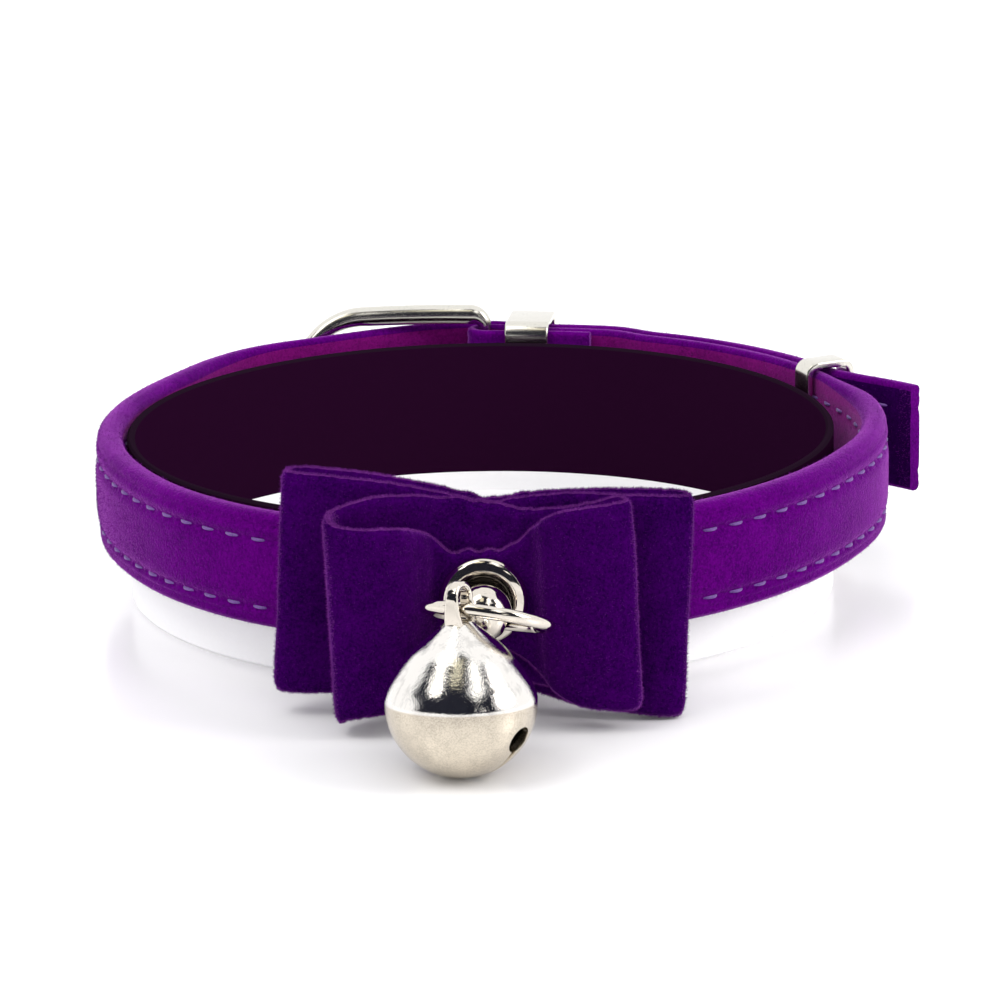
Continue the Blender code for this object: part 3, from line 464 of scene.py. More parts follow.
def cylinder(name, middle, axis, radius, length, segments=24):
    """Closed cylinder for cutting, relative to the neck's centre."""
    builder = bmesh.new()
    turn = Vector(axis).to_track_quat("Z", "Y").to_matrix().to_4x4()
    bmesh.ops.create_cone(builder, cap_ends=True, segments=segments, radius1=radius, radius2=radius,
                          depth=length, matrix=Matrix.Translation(NECK + middle) @ turn)
    return add_object(name, built(name, builder))


def block(name, middle, angle, size):
    """Closed box for cutting, its size given outwards, round the neck and upwards."""
    builder = bmesh.new()
    spot = Matrix.Translation(NECK + middle) @ Matrix.Rotation(math.radians(angle), 4, "Z")
    bmesh.ops.create_cube(builder, size=1.0, matrix=spot @ Matrix.Diagonal((*size, 1.0)))
    return add_object(name, built(name, builder))


class Nodes:
    """Small helper that adds and joins shader nodes."""

    def __init__(self, name):
        self.material = bpy.data.materials.new(name)
        self.material.use_nodes = True
        self.tree = self.material.node_tree
        self.shader = self.tree.nodes["Principled BSDF"]
        geometry = self.tree.nodes.new("ShaderNodeNewGeometry")
        self.position = geometry.outputs["Position"]

    def add(self, kind, **values):
        """Node of a kind with its settings and plain inputs."""
        node = self.tree.nodes.new(kind)
        for key, value in values.items():
            if hasattr(node, key):
                setattr(node, key, value)
            else:
                node.inputs[key.replace("_", " ")].default_value = value
        return node

    def link(self, output, target):
        """Join an output to an input."""
        self.tree.links.new(output, target)

    def noise(self, size, detail=3.0, roughness=0.55, stretch=None):
        """Noise whose blobs are about a size in metres across."""
        node = self.add("ShaderNodeTexNoise", Scale=1.0 / size, Detail=detail, Roughness=roughness)
        source = self.position
        if stretch:
            scaled = self.add("ShaderNodeVectorMath", operation="MULTIPLY")
            scaled.inputs[1].default_value = stretch
            self.link(source, scaled.inputs[0])
            source = scaled.outputs[0]
        self.link(source, node.inputs["Vector"])
        return node.outputs["Fac"]

    def ramp(self, value, stops):
        """Colour ramp through (place, colour) stops."""
        node = self.add("ShaderNodeValToRGB")
        elements = node.color_ramp.elements
        while len(elements) < len(stops):
            elements.new(0.5)
        for element, (spot, colour) in zip(elements, stops):
            element.position = spot
            element.color = (*colour, 1.0)
        self.link(value, node.inputs[0])
        return node.outputs[0]

    def math(self, operation, first, second):
        """Arithmetic on two values or sockets."""
        node = self.add("ShaderNodeMath", operation=operation)
        for socket, value in zip(node.inputs, (first, second)):
            if isinstance(value, (int, float)):
                socket.default_value = value
            else:
                self.link(value, socket)
        return node.outputs[0]

    def mix(self, share, first, second):
        """Mix of two colour sockets."""
        node = self.add("ShaderNodeMix", data_type="RGBA")
        colours = [socket for socket in node.inputs if socket.type == "RGBA"]
        for target, source in zip((node.inputs[0], *colours), (share, first, second)):
            self.link(source, target)
        return next(socket for socket in node.outputs if socket.type == "RGBA")

    def bump(self, height, distance, strength=1.0, after=None):
        """Bump from a height value."""
        node = self.add("ShaderNodeBump", Strength=strength, Distance=distance)
        self.link(height, node.inputs["Height"])
        if after is not None:
            self.link(after, node.inputs["Normal"])
        return node.outputs[0]

    def weighted(self, *parts):
        """Sum of sockets, each with its weight."""
        products = [self.math("MULTIPLY", value, weight) for value, weight in parts]
        total = products[0]
        for product in products[1:]:
            total = self.math("ADD", total, product)
        return total

    def join(self, **outputs):
        """Join outputs to the shader's own sockets."""
        for key, output in outputs.items():
            self.link(output, self.shader.inputs[key.replace("_", " ")])

    def set(self, **values):
        """Plain values on the shader's own sockets."""
        for key, value in values.items():
            self.shader.inputs[key.replace("_", " ")].default_value = value


def shaded(colour, share):
    """Colour with each part taken down to a share."""
    return tuple(share * part for part in colour)


def velvet(name, deep, lit, sheen_tint, sheen, sheen_spread=0.4):
    """Short-pile velvet: crushed patches, fine pile and a soft tinted sheen."""
    nodes = Nodes(name)
    patches = nodes.noise(7.0 * MM, 3.0, 0.5)
    crushed = nodes.noise(1.2 * MM, 4.0, 0.65)
    fibres = nodes.noise(0.26 * MM, 3.0, 0.8)
    blend = nodes.weighted((patches, 0.24), (crushed, 0.18), (fibres, 0.58))
    colour = nodes.ramp(blend, ((0.38, deep), (0.62, lit)))
    soft = nodes.bump(crushed, 0.10 * MM, 0.35)
    nodes.join(Base_Color=colour, Normal=nodes.bump(fibres, 0.10 * MM, 0.8, soft))
    nodes.set(Roughness=1.0, Specular_IOR_Level=0.0, Sheen_Weight=sheen,
              Sheen_Roughness=sheen_spread, Sheen_Tint=(*sheen_tint, 1.0))
    return nodes.material


def metal(name, colour, rough_low, rough_high):
    """Polished plating with cloudy roughness and fine scratches."""
    nodes = Nodes(name)
    cloud = nodes.noise(1.6 * MM, 3.0)
    speck = nodes.noise(0.16 * MM, 2.0, 0.7)
    marks = nodes.noise(0.5 * MM, 2.0, 0.5, (6.0, 1.0, 0.35))
    rough = nodes.math("ADD", nodes.math("MULTIPLY", cloud, rough_high - rough_low), rough_low)
    tone = nodes.ramp(speck, ((0.30, shaded(colour, 0.80)), (0.42, colour)))
    ripple = nodes.bump(cloud, 0.05 * MM, 0.12)
    fine = nodes.bump(marks, 0.01 * MM, 0.25, ripple)
    nodes.join(Base_Color=tone, Roughness=rough, Normal=fine)
    nodes.set(Metallic=1.0)
    return nodes.material


def bell_metal(name, above, colour, axis, equator):
    """Bell plating: mirror-bright above the equator and a little satin below it, along its own axis; the
    darker, warmer tone below the equator is a painted reflection of the floor.
    """
    nodes = Nodes(name)
    along = nodes.add("ShaderNodeVectorMath", operation="DOT_PRODUCT")
    along.inputs[1].default_value = axis
    nodes.link(nodes.position, along.inputs[0])
    height = nodes.math("SUBTRACT", along.outputs["Value"], equator)
    below = nodes.add("ShaderNodeMapRange", interpolation_type="SMOOTHSTEP")
    nodes.link(height, below.inputs["Value"])
    below.inputs["From Min"].default_value = 0.12 * MM
    below.inputs["From Max"].default_value = -0.05 * MM
    cloud = nodes.noise(1.1 * MM, 4.0, 0.6)
    speck = nodes.noise(0.13 * MM, 2.0, 0.7)
    marks = nodes.noise(0.45 * MM, 2.0, 0.5, (6.0, 1.0, 0.4))
    rough = nodes.math("ADD", nodes.weighted((cloud, 0.05), (below.outputs[0], 0.15)), 0.035)
    streaks = nodes.noise(0.9 * MM, 3.0, 0.6, (1.0, 1.0, 0.22))
    grime = nodes.weighted((speck, 0.65), (cloud, 0.35))
    streaked = nodes.ramp(streaks, ((0.34, shaded(above, 0.84)), (0.48, above)))
    # Tone below the equator: darker and warmer, a painted reflection of the floor, with random specks
    specked = nodes.ramp(grime, ((0.37, shaded(colour, 0.72)), (0.57, colour)))
    tone = nodes.mix(below.outputs[0], streaked, specked)
    ripple = nodes.bump(cloud, 0.06 * MM, 0.42)
    grit = nodes.noise(0.22 * MM, 3.0, 0.7)
    grain = nodes.bump(grit, 0.028 * MM, 0.6, ripple)
    fine = nodes.bump(marks, 0.012 * MM, 0.4, grain)
    nodes.join(Base_Color=tone, Roughness=rough, Normal=fine)
    nodes.set(Metallic=1.0)
    return nodes.material


def plain(name, colour, roughness, amount=0.06, gloss=0.5):
    """Moulded plastic with a faint grain."""
    nodes = Nodes(name)
    blobs = nodes.noise(0.4 * MM, 3.0)
    tone = nodes.ramp(blobs, ((0.35, shaded(colour, 1 - amount)), (0.65, colour)))
    nodes.join(Base_Color=tone, Normal=nodes.bump(blobs, 0.02 * MM, 0.3))
    nodes.set(Roughness=roughness, Specular_IOR_Level=gloss)
    return nodes.material


def thread_material():
    """Lilac sewing thread."""
    nodes = Nodes("lilac thread")
    ply = nodes.noise(0.10 * MM, 2.0)
    colour = nodes.ramp(ply, ((0.35, (0.070, 0.018, 0.17)), (0.65, (0.175, 0.065, 0.33))))
    nodes.join(Base_Color=colour, Normal=nodes.bump(ply, 0.03 * MM, 0.5))
    nodes.set(Roughness=0.6, Sheen_Weight=0.3, Sheen_Roughness=0.4)
    return nodes.material


STRAP_VELVET = velvet("strap velvet", (0.040, 0.0003, 0.078), (0.112, 0.0011, 0.178),
                      (0.76, 0.22, 0.90), 0.85, 0.28)
LINING = velvet("strap lining", (0.100, 0.0015, 0.090), (0.220, 0.0050, 0.175), (0.70, 0.25, 0.75), 0.45)
# Darker copy of the lining for the free end's neck side: painted shade, as that face turns away from the
# light
TAIL_LINING_PAINTED_SHADE = velvet("free end lining painted shade", (0.011, 0.0001, 0.032), (0.031, 0.0003, 0.072),
                     (0.40, 0.10, 0.60), 0.08)
RIBBON = velvet("ribbon velvet", (0.0105, 0.0001, 0.033), (0.043, 0.0003, 0.096),
                (0.62, 0.14, 0.80), 0.60, 0.27)
# Paler ribbon for the cut edges: partly the cut edge's own lighter tone, partly painted highlight where the
# edges catch the light
RIBBON_EDGE_AND_HIGHLIGHT = velvet("ribbon cut edge and painted highlight", (0.060, 0.0040, 0.105), (0.215, 0.0360, 0.290),
                     (0.68, 0.26, 0.82), 0.30)
RIBBON_PILE = velvet("ribbon pile", (0.036, 0.0020, 0.076), (0.120, 0.0180, 0.190), (0.60, 0.30, 0.85), 0.22)
STRAP_PILE = velvet("strap pile", (0.085, 0.0030, 0.140), (0.200, 0.0200, 0.280), (0.60, 0.30, 0.85), 0.22)
THREAD = thread_material()
NICKEL = metal("bright nickel", (0.68, 0.63, 0.555), 0.04, 0.12)
SHADED_NICKEL = metal("shaded nickel", (0.10, 0.092, 0.085), 0.12, 0.22)
BACK_NICKEL = metal("buckle nickel", (0.66, 0.64, 0.58), 0.16, 0.26)
PALE = plain("pale display plastic", (0.965, 0.96, 0.97), 0.45, amount=0.015)
DARK = plain("dark display face", (0.0150, 0.0022, 0.0142), 1.0, amount=0.0, gloss=0.0)
RIM = plain("display rim", (0.012, 0.005, 0.012), 0.5, gloss=0.0)


def strap_line():
    """Plan points and thicknesses of the strap's middle line, evenly spaced from the tip on."""
    stations = []
    for angle in np.linspace(TAIL_END_ANGLE, FRAME_END_ANGLE, 220):
        stations.append((polar(angle, outer_run(angle) + END_THICKNESS / 2), END_THICKNESS))
    step = 0.5
    stop = HINGE_ANGLE + 360
    for angle in np.arange(FRAME_END_ANGLE + step, stop - step / 2, step):
        thickness = strap_thickness(angle)
        stations.append((polar(angle, inner_run(angle) + thickness / 2), thickness))
    hinge = polar(HINGE_ANGLE, HINGE_RADIUS)
    outward = polar(HINGE_ANGLE, 1.0)
    onward = polar(HINGE_ANGLE + 90, 1.0)
    for turn in np.radians(np.linspace(0, 180, 24)):
        point = hinge + BAR_TO_FOLD * (math.cos(turn) * outward + math.sin(turn) * onward)
        stations.append((point, FOLD_THICKNESS))
    for angle in np.arange(HINGE_ANGLE - step, FOLD_END_ANGLE, -step):
        stations.append((polar(angle, neck_side(angle) + FOLD_THICKNESS / 2), FOLD_THICKNESS))
    spots = np.array([point.xy for point, thickness in stations])
    walls = np.array([thickness for point, thickness in stations])
    marks = np.concatenate([[0], np.cumsum(np.linalg.norm(np.diff(spots, axis=0), axis=1))])
    even = np.linspace(0, marks[-1], int(marks[-1] / STATION_LENGTH))
    line = np.stack([np.interp(even, marks, spots[:, axis]) for axis in range(2)], -1)
    walls = np.interp(even, marks, walls)
    kernel = np.ones(5) / 5
    for axis in range(2):
        eased = np.convolve(line[:, axis], kernel, "same")
        line[3:-3, axis] = eased[3:-3]
    along = np.gradient(line, axis=0)
    along /= np.linalg.norm(along, axis=1)[:, None]
    across = np.stack([along[:, 1], -along[:, 0]], -1)
    return even, line, across, walls


def free_end_length():
    """Length of the free end, from its tip to the hinge."""
    spots = [polar(angle, outer_run(angle)) for angle in np.linspace(TAIL_END_ANGLE, HINGE_ANGLE, 120)]
    return sum((after - before).length for before, after in zip(spots, spots[1:]))


def stitch_span(marks):
    """First and last place along the strap where the rows of stitches run."""
    return marks[0] + STITCH_TIP_GAP, marks[-1] - FOLD_LENGTH - STITCH_FOLD_GAP


def face_relief(levels, marks, walls):
    """How far the strap's face stands out of its plain section, for one level at every station."""
    share = np.clip((walls - FOLD_THICKNESS) / (PAD_THICKNESS - FOLD_THICKNESS), 0, 1)
    first, last = stitch_span(marks)
    sewn = np.clip((marks - first + STITCH_PITCH) / MM, 0, 1) * np.clip((last - marks) / MM, 0, 1)
    relief = CROWN * share * (1 - (levels / (STRAP_WIDTH / 2)) ** 2)
    phase = (marks - first) / STITCH_PITCH
    phase = phase - np.floor(phase)
    half = STITCH_LENGTH / STITCH_PITCH / 2
    near = np.minimum(np.abs(phase - 0.5 + half), np.abs(phase - 0.5 - half)) * STITCH_PITCH
    groove = GROOVE_DEPTH * (THIN_GROOVE_SHARE + (1 - THIN_GROOVE_SHARE) * share)
    fold = CREASE_DEPTH * (THIN_CREASE_SHARE + (1 - THIN_CREASE_SHARE) * share)
    for row in (LOWER_ROW, UPPER_ROW):
        away = (levels - row) / GROOVE_WIDTH
        relief = relief - groove * sewn * np.exp(-away * away)
        close = (levels - row) / NEEDLE_WIDTH
        relief = relief - NEEDLE_DEPTH * sewn * np.exp(-close * close) * np.exp(-(near / NEEDLE_WIDTH) ** 2)
    for line in (FOLD_LINE, -FOLD_LINE):
        crease = (levels - line) / CREASE_DEPTH
        relief = relief - fold * np.exp(-crease * crease)
    return relief


def strap_columns(walls, marks):
    """Section columns of the strap: side, level and whether the column is on the lining."""
    corner = STRAP_CORNER_SHARE * walls
    flat = STRAP_WIDTH / 2 - corner
    steps = 5
    outline = [(side, level, 0) for side, level in rounded_outline(walls, STRAP_WIDTH, corner, steps)]
    face = []
    for level in [share * flat for share in np.linspace(-1, 1, FACE_COLUMNS)]:
        face.append((walls / 2 + face_relief(level, marks, walls), level, 0))
    lining = []
    for level in [share * flat for share in np.linspace(1, -1, LINING_COLUMNS)]:
        lining.append((-walls / 2 - LINING_RELIEF_SHARE * face_relief(level, marks, walls), level, 1))
    half = 2 * (steps + 1)
    return face + outline[1:half - 1] + lining + outline[half + 1:-1]


def make_strap():
    """Padded velvet strap with its lining, sewn grooves and punched holes."""
    marks, line, across, walls = strap_line()
    columns = strap_columns(walls, marks)
    width = len(columns)
    count = len(marks)
    grid = np.zeros((count, width, 3))
    for index, (side, level, lining) in enumerate(columns):
        grid[:, index, :2] = line + across * side[:, None]
        grid[:, index, 2] = STRAP_MIDDLE + level
    grid += np.array(NECK)
    faces = skin_faces(count, width, False)
    over = free_end_length()
    # Lining rows on the free end take the darker lining, which is painted shade
    picks = [columns[column][2] * (2 if marks[row] < over else 1)
             for row in range(count - 1) for column in range(width)] + [0, 0]
    finishes = [STRAP_VELVET, LINING, TAIL_LINING_PAINTED_SHADE]
    strap = mesh_object("strap_velvet", grid.reshape(-1, 3), faces, finishes, picks, sharp=70)
    cut(strap, strap_cutters())
    shade(strap.data, 60)
    place(strap, "strap")
    make_pile("strap_pile", strap, STRAP_FIBRES, STRAP_FIBRE_LENGTH, STRAP_PILE, 11)


def make_pile(name, cloth, count, length, finish, seed):
    """Loose fibres that stand out of a velvet piece, each a slender closed spike."""
    draw = np.random.default_rng(seed)
    mesh = cloth.data
    mesh.calc_loop_triangles()
    corners = np.zeros(len(mesh.vertices) * 3)
    mesh.vertices.foreach_get("co", corners)
    corners = corners.reshape(-1, 3)
    owner = np.zeros(len(mesh.loop_triangles), dtype=np.int32)
    mesh.loop_triangles.foreach_get("polygon_index", owner)
    triples = np.zeros(len(owner) * 3, dtype=np.int32)
    mesh.loop_triangles.foreach_get("vertices", triples)
    triangles = corners[triples.reshape(-1, 3)]
    normals = np.cross(triangles[:, 1] - triangles[:, 0], triangles[:, 2] - triangles[:, 0])
    areas = np.linalg.norm(normals, axis=1)
    normals /= np.maximum(areas, 1e-18)[:, None]
    cut_edge = np.zeros(len(mesh.polygons), dtype=np.int32)
    mesh.polygons.foreach_get("material_index", cut_edge)
    on_edge = cut_edge[owner] == 1
    away = np.abs(triangles[:, :, 0].mean(axis=1) - corners[:, 0].mean())
    loop_end = (away > LOOP_END_SHARE * away.max()) & (np.abs(normals[:, 0]) > LOOP_END_FACING)
    chances = areas * (1 + LOOP_END_CHANCE * loop_end + RIM_CHANCE * (np.abs(normals[:, 2]) > RIM_FACING))
    ribbon = mesh.materials[1] == RIBBON_EDGE_AND_HIGHLIGHT
    if ribbon:
        chances *= 1 + CUT_EDGE_CHANCE * on_edge
    picked = draw.choice(len(areas), count, p=chances / chances.sum())
    weights = draw.dirichlet((1, 1, 1), count)
    roots = (triangles[picked] * weights[:, :, None]).sum(1)
    way = normals[picked] + draw.normal(0, FIBRE_LEAN, (count, 3))
    way /= np.linalg.norm(way, axis=1)[:, None]
    side = np.cross(way, draw.normal(0, 1, (count, 3)))
    side /= np.linalg.norm(side, axis=1)[:, None]
    other = np.cross(way, side)
    sunk = roots - FIBRE_ROOT_DEPTH * normals[picked]
    points = np.zeros((count, 4, 3))
    for corner, turn in enumerate((0.0, 2 * math.pi / 3, 4 * math.pi / 3)):
        points[:, corner] = sunk + FIBRE_THICKNESS * (math.cos(turn) * side + math.sin(turn) * other)
    points[:, 3] = sunk + way * (length * draw.uniform(0.5, 1.2, count))[:, None]
    first = np.arange(count)[:, None] * 4
    spikes = np.array(((0, 2, 1), (0, 1, 3), (1, 2, 3), (2, 0, 3)))
    faces = (first[:, :, None] + spikes[None]).reshape(-1, 3)
    fuzz = bpy.data.meshes.new(name)
    fuzz.from_pydata(points.reshape(-1, 3), [], faces.tolist())
    fuzz.materials.append(finish)
    if ribbon:
        # Fibres on the cut edges and at the loop ends take the paler edge ribbon; at the loop ends this is
        # painted highlight
        pale = (on_edge | loop_end)[picked]
        fuzz.materials.append(RIBBON_EDGE_AND_HIGHLIGHT)
        fuzz.polygons.foreach_set("material_index", np.repeat(pale, 4).astype(np.int32))
    place(add_object(name, fuzz))


def strap_cutters():
    """Cutters for the punched holes, the prong's slots and the stud's hole."""
    cutters = []
    past = HINGE_ANGLE + arc_degrees(PRONG_HOLE_SHARE * PRONG_RISE)
    depth = END_THICKNESS + CLEARANCE
    slot_height = 2 * (PRONG_RADIUS + CLEARANCE)
    for number in range(-HOLES_TOWARDS_TAIL, HOLES_PAST_PRONG + 1):
        angle = past + number * arc_degrees(HOLE_PITCH)
        run = outer_run(angle) if angle < FRAME_END_ANGLE else inner_run(angle)
        spot = polar(angle, run + END_THICKNESS / 2, STRAP_MIDDLE)
        if number == 0:
            cutters.append(block("slot_cutter", spot, angle, (depth, PRONG_SLOT_LENGTH, slot_height)))
        else:
            cutters.append(cylinder("hole_cutter", spot, polar(angle, 1.0), HOLE_DIAMETER / 2, depth))
    reach = BAR_TO_FOLD + FOLD_THICKNESS
    size = (2 * reach - CLEARANCE / 2, 2 * reach, slot_height)
    cutters.append(block("fold_cutter", polar(HINGE_ANGLE, HINGE_RADIUS, STRAP_MIDDLE), HINGE_ANGLE, size))
    return [*cutters, stud_hole_cutter()]


def stud_hole_cutter():
    """Cylinder that clears the stud's post through strap and bows."""
    start = -neck_side(FRONT_ANGLE) + STUD_BACK_THICKNESS
    stop = front_planes()[2] - WASHER_THICKNESS
    middle = Vector((0, (start + stop) / 2, STUD_HEIGHT))
    return cylinder("stud_hole", middle, (0, 1, 0), POST_RADIUS + CLEARANCE, start - stop)


def make_stitches():
    """Two rows of thread dashes on both faces of the strap."""
    marks, line, across, walls = strap_line()
    first, last = stitch_span(marks)
    sides = 6
    steps = 7
    radii = [THREAD_RADIUS * (0.55 + 0.45 * math.sin(math.pi * k / (steps - 1))) for k in range(steps)]
    points = []
    faces = []
    for row in (LOWER_ROW, UPPER_ROW):
        relief = face_relief(np.full(len(marks), row), marks, walls)
        for face in (1, -1):
            lift = walls / 2 + (relief if face > 0 else LINING_RELIEF_SHARE * relief)
            for number in range(int((last - first) / STITCH_PITCH)):
                start = first + number * STITCH_PITCH + (STITCH_PITCH - STITCH_LENGTH) / 2
                path = []
                for step in range(steps):
                    share = step / (steps - 1)
                    spot = start + STITCH_LENGTH * share
                    plan = [np.interp(spot, marks, line[:, axis]) for axis in range(2)]
                    out = [np.interp(spot, marks, across[:, axis]) for axis in range(2)]
                    rise = THREAD_RADIUS * (1.9 * math.sin(math.pi * share) ** 0.5 - 1.5)
                    side = face * (np.interp(spot, marks, lift) + rise)
                    plan = [middle + slope * side for middle, slope in zip(plan, out)]
                    path.append(Vector((*plan, STRAP_MIDDLE + row)))
                rings = rings_along(path, radii, sides)
                faces += skin_faces(steps, sides, False, len(points))
                points += [NECK + point for ring in rings for point in ring]
    place(mesh_object("strap_stitches", points, faces, [THREAD]))


def front_planes():
    """Waist planes of both bows and the back plane of the washer, all in y."""
    step = RIBBON_WALL + CLEARANCE
    strap_face = -(neck_side(FRONT_ANGLE) + PAD_THICKNESS)
    back_bow = strap_face - CLEARANCE - RIBBON_WALL / 2 - step
    front_bow = back_bow - 2 * step
    washer = front_bow - RIBBON_WALL / 2 - CLEARANCE
    return back_bow, front_bow, washer


def bow_walls(front_rows, back_rows, width, depth, height, waist_front):
    """Plan place and height of a bow's wall, round from the right end over the front."""
    half = width / 2
    waist_back = waist_front + RIBBON_WALL + CLEARANCE
    points = []
    for rows, waist in ((front_rows, waist_front), (back_rows, waist_back)):
        points += [(half * side, waist - depth * forward, height * tall) for side, forward, tall in rows]
    return points


def eased(line, reach):
    """Closed line whose points are averaged with their neighbours."""
    count = len(line)
    weights = [reach + 1 - abs(step) for step in range(-reach, reach + 1)]
    total = sum(weights)
    return [sum((line[(k + step) % count] * weights[step + reach] for step in range(-reach, reach + 1)),
                Vector((0, 0, 0))) / total for k in range(count)]


def bow_noise(shift, point, level, size):
    """Noise at a place on a bow, in blobs of about a size."""
    return noise.noise(shift + Vector((point.x, point.y, level)) / size)


def make_bow(name, node, walls, tilt, middle_height, seed, crimp):
    """Velvet ribbon loop with a fuzzy cut edge and small gathers at its waist."""
    stations = 420
    bands = 44
    line = eased(curve_through(walls, stations, True), 5)
    turn = Matrix.Rotation(-math.radians(tilt), 3, "Y")
    middle = NECK + Vector((0, 0, middle_height))
    shift = Vector((seed, 0, 0))
    wall = RIBBON_CLOTH_SHARE * RIBBON_WALL
    rows = []
    for index, point in enumerate(line):
        along = (line[(index + 1) % stations] - line[index - 1]).xy.normalized()
        across = Vector((along.y, -along.x, 0))
        gather = math.exp(-(point.x / GATHER_REACH) ** 2)
        plan = Vector((point.x, point.y, 0))
        front = []
        back = []
        for level in np.linspace(-0.5, 0.5, bands):
            height = level * point.z
            edge = abs(level) * 2
            crumple = bow_noise(shift, point, height, 5.0 * MM) * 0.20 * MM
            pleat = bow_noise(shift * 2, point, height, 1.3 * MM) * (2 * gather * crimp * edge ** 2)
            fuzz = bow_noise(shift * 3, point, level, 0.45 * MM) * 0.07 * MM
            ragged = bow_noise(shift * 5, point, level * MM, 0.5 * MM) * 0.06 * MM
            pucker = bow_noise(shift * 4, point, level * MM, 1.1 * MM) * 2 * crimp
            inset = wall / 2 * min(1.0, math.sqrt(max(1 - edge, 0.0) * 12 + 0.20))
            rise = (ragged + pucker * gather) * edge ** 6 * np.sign(level)
            spot = plan + across * (crumple * edge + pleat) + UP * (height + rise)
            out = across * (inset + fuzz * 0.4)
            front.append(spot + out)
            back.append(spot - out)
        rows.append([middle + turn @ spot for spot in front + back[::-1]])
    width = 2 * bands
    # The two edge columns take the paler edge ribbon: the cut edge's own tone plus painted highlight
    picks = [int(column in (bands - 1, width - 1)) for row in range(stations) for column in range(width)]
    bow = skinned(name, rows, [RIBBON, RIBBON_EDGE_AND_HIGHLIGHT], True, picks, sharp=75)
    cut(bow, [stud_hole_cutter()])
    place(bow, node)
    pile = name + "_pile"
    make_pile(pile, bow, RIBBON_FIBRES, RIBBON_FIBRE_LENGTH, RIBBON_PILE, round(seed))


def along_stud(plane):
    """Matrix that turns a piece made about +Z so that +Z points out of the collar's front."""
    return Matrix.Translation(NECK + Vector((0, plane, STUD_HEIGHT))) @ Matrix.Rotation(math.pi / 2, 4, "X")


def rounded_profile(corners, radius, steps=4):
    """Closed profile whose corners are rounded."""
    points = []
    count = len(corners)
    for index in range(count):
        before, here, after = (Vector(corners[(index + k) % count]) for k in (-1, 0, 1))
        reach = min(radius, (before - here).length / 2, (after - here).length / 2)
        start = here + (before - here).normalized() * reach
        end = here + (after - here).normalized() * reach
        for step in range(steps + 1):
            share = step / steps
            points.append(tuple(start * (1 - share) ** 2 + here * 2 * share * (1 - share) + end * share ** 2))
    return points


def make_washer():
    """Dished washer between the front bow and the ball."""
    hole = POST_RADIUS + CLEARANCE
    rim = WASHER_THICKNESS
    corners = ((WASHER_RADIUS, 0.35 * rim), (WASHER_RADIUS, 0), (hole, 0), (hole, 0.4 * rim),
               (WASHER_WELL_RADIUS - 0.3 * rim, 0.4 * rim), (WASHER_WELL_RADIUS, 0.95 * rim),
               (WASHER_WELL_RADIUS + 0.25 * rim, rim), (WASHER_RADIUS - 0.3 * rim, 0.75 * rim))
    profile = rounded_profile(corners, 0.28 * MM)
    per_corner = len(profile) // len(corners)
    # The well's rows take the shaded nickel: painted shade in the recess
    picks = [int(3 * per_corner <= row <= 5 * per_corner) for row in range(len(profile))]
    matrix = along_stud(front_planes()[2])
    washer = turned_mesh("washer_dish", profile, 96, [NICKEL, SHADED_NICKEL], matrix, picks, closed=True)
    place(washer, "stud_washer")


def ball_centre():
    """Centre of the stud's ball, relative to the neck's centre."""
    plane = front_planes()[2] - WASHER_THICKNESS - BALL_STAND_OFF - BALL_RADIUS * BALL_SINK_SHARE
    return Vector((0, plane, STUD_HEIGHT))


def ring_path(degrees):
    """Points along the middle of the jump ring's wire."""
    centre, side, forward = ring_axes()
    return [centre + RING_RADIUS * (math.sin(turn) * side - math.cos(turn) * forward)
            for turn in np.radians(degrees)]


def ring_axes():
    """Centre of the jump ring and its plane's side and forward directions."""
    lift = Matrix.Rotation(-math.radians(RING_LIFT), 3, "X")
    turn = Matrix.Rotation(math.radians(RING_ROLL), 3, "Y") @ lift
    side = turn @ Vector((1, 0, 0))
    forward = turn @ Vector((0, -1, 0))
    centre = ball_centre() - Vector((0, 0, EYE_DROP)) + forward * RING_RADIUS
    return centre, side, forward


def make_stud():
    """Ball, post and back plate in one piece, with a cross hole for the jump ring."""
    ball = ball_centre()
    base = front_planes()[2]
    back = -neck_side(FRONT_ANGLE) + CLEARANCE
    top = base - ball.y
    profile = [(0, top + BALL_RADIUS)]
    lowest = math.degrees(math.acos(POST_RADIUS / BALL_RADIUS))
    for step in range(1, 33):
        turn = math.radians(90 - (90 + lowest) * step / 32)
        profile.append((BALL_RADIUS * math.cos(turn), top + BALL_RADIUS * math.sin(turn)))
    plate = base - back
    under = plate - STUD_BACK_THICKNESS
    ease = 0.1 * MM
    profile += [(POST_RADIUS, plate), (STUD_BACK_RADIUS - ease, plate), (STUD_BACK_RADIUS, plate - ease),
                (STUD_BACK_RADIUS, under + ease), (STUD_BACK_RADIUS - 1.5 * ease, under), (0, under)]
    stud = turned_mesh("ball_stud", profile, 72, [NICKEL], along_stud(base))
    path = ring_path(np.linspace(-EYE_ARC, EYE_ARC, 17))
    cut(stud, [wire("eye_cutter", path, RING_WIRE_RADIUS + CLEARANCE, 24, NICKEL)])
    shade(stud.data, 30)
    place(stud, "stud")


def make_jump_ring():
    """Round wire ring whose ends meet in a fine joint at its side."""
    start = RING_JOINT_ANGLE + RING_JOINT_GAP / 2
    path = ring_path(np.linspace(start, start + 360 - RING_JOINT_GAP, 140))
    radii = [RING_WIRE_RADIUS] * len(path)
    radii[0] = radii[-1] = RING_END_SHARE * RING_WIRE_RADIUS
    place(wire("jump_ring_wire", path, radii, 24, NICKEL), "jump_ring")


def bell_axes():
    """Bell centre, relative to the neck's centre, and the unit vector up its leaning axis."""
    centre, side, forward = ring_axes()
    share = BELL_SIDE_SHIFT / RING_RADIUS
    spot = centre + RING_RADIUS * (share * side + math.sqrt(1 - share * share) * forward)
    reach = BELL_SHOULDER + BELL_WIRE_HEIGHT
    drop = spot.z - BELL_RADIUS
    lean = math.acos(min(drop / reach, 1.0))
    axis = Vector((0, math.sin(lean), math.cos(lean)))
    return spot - axis * reach, axis


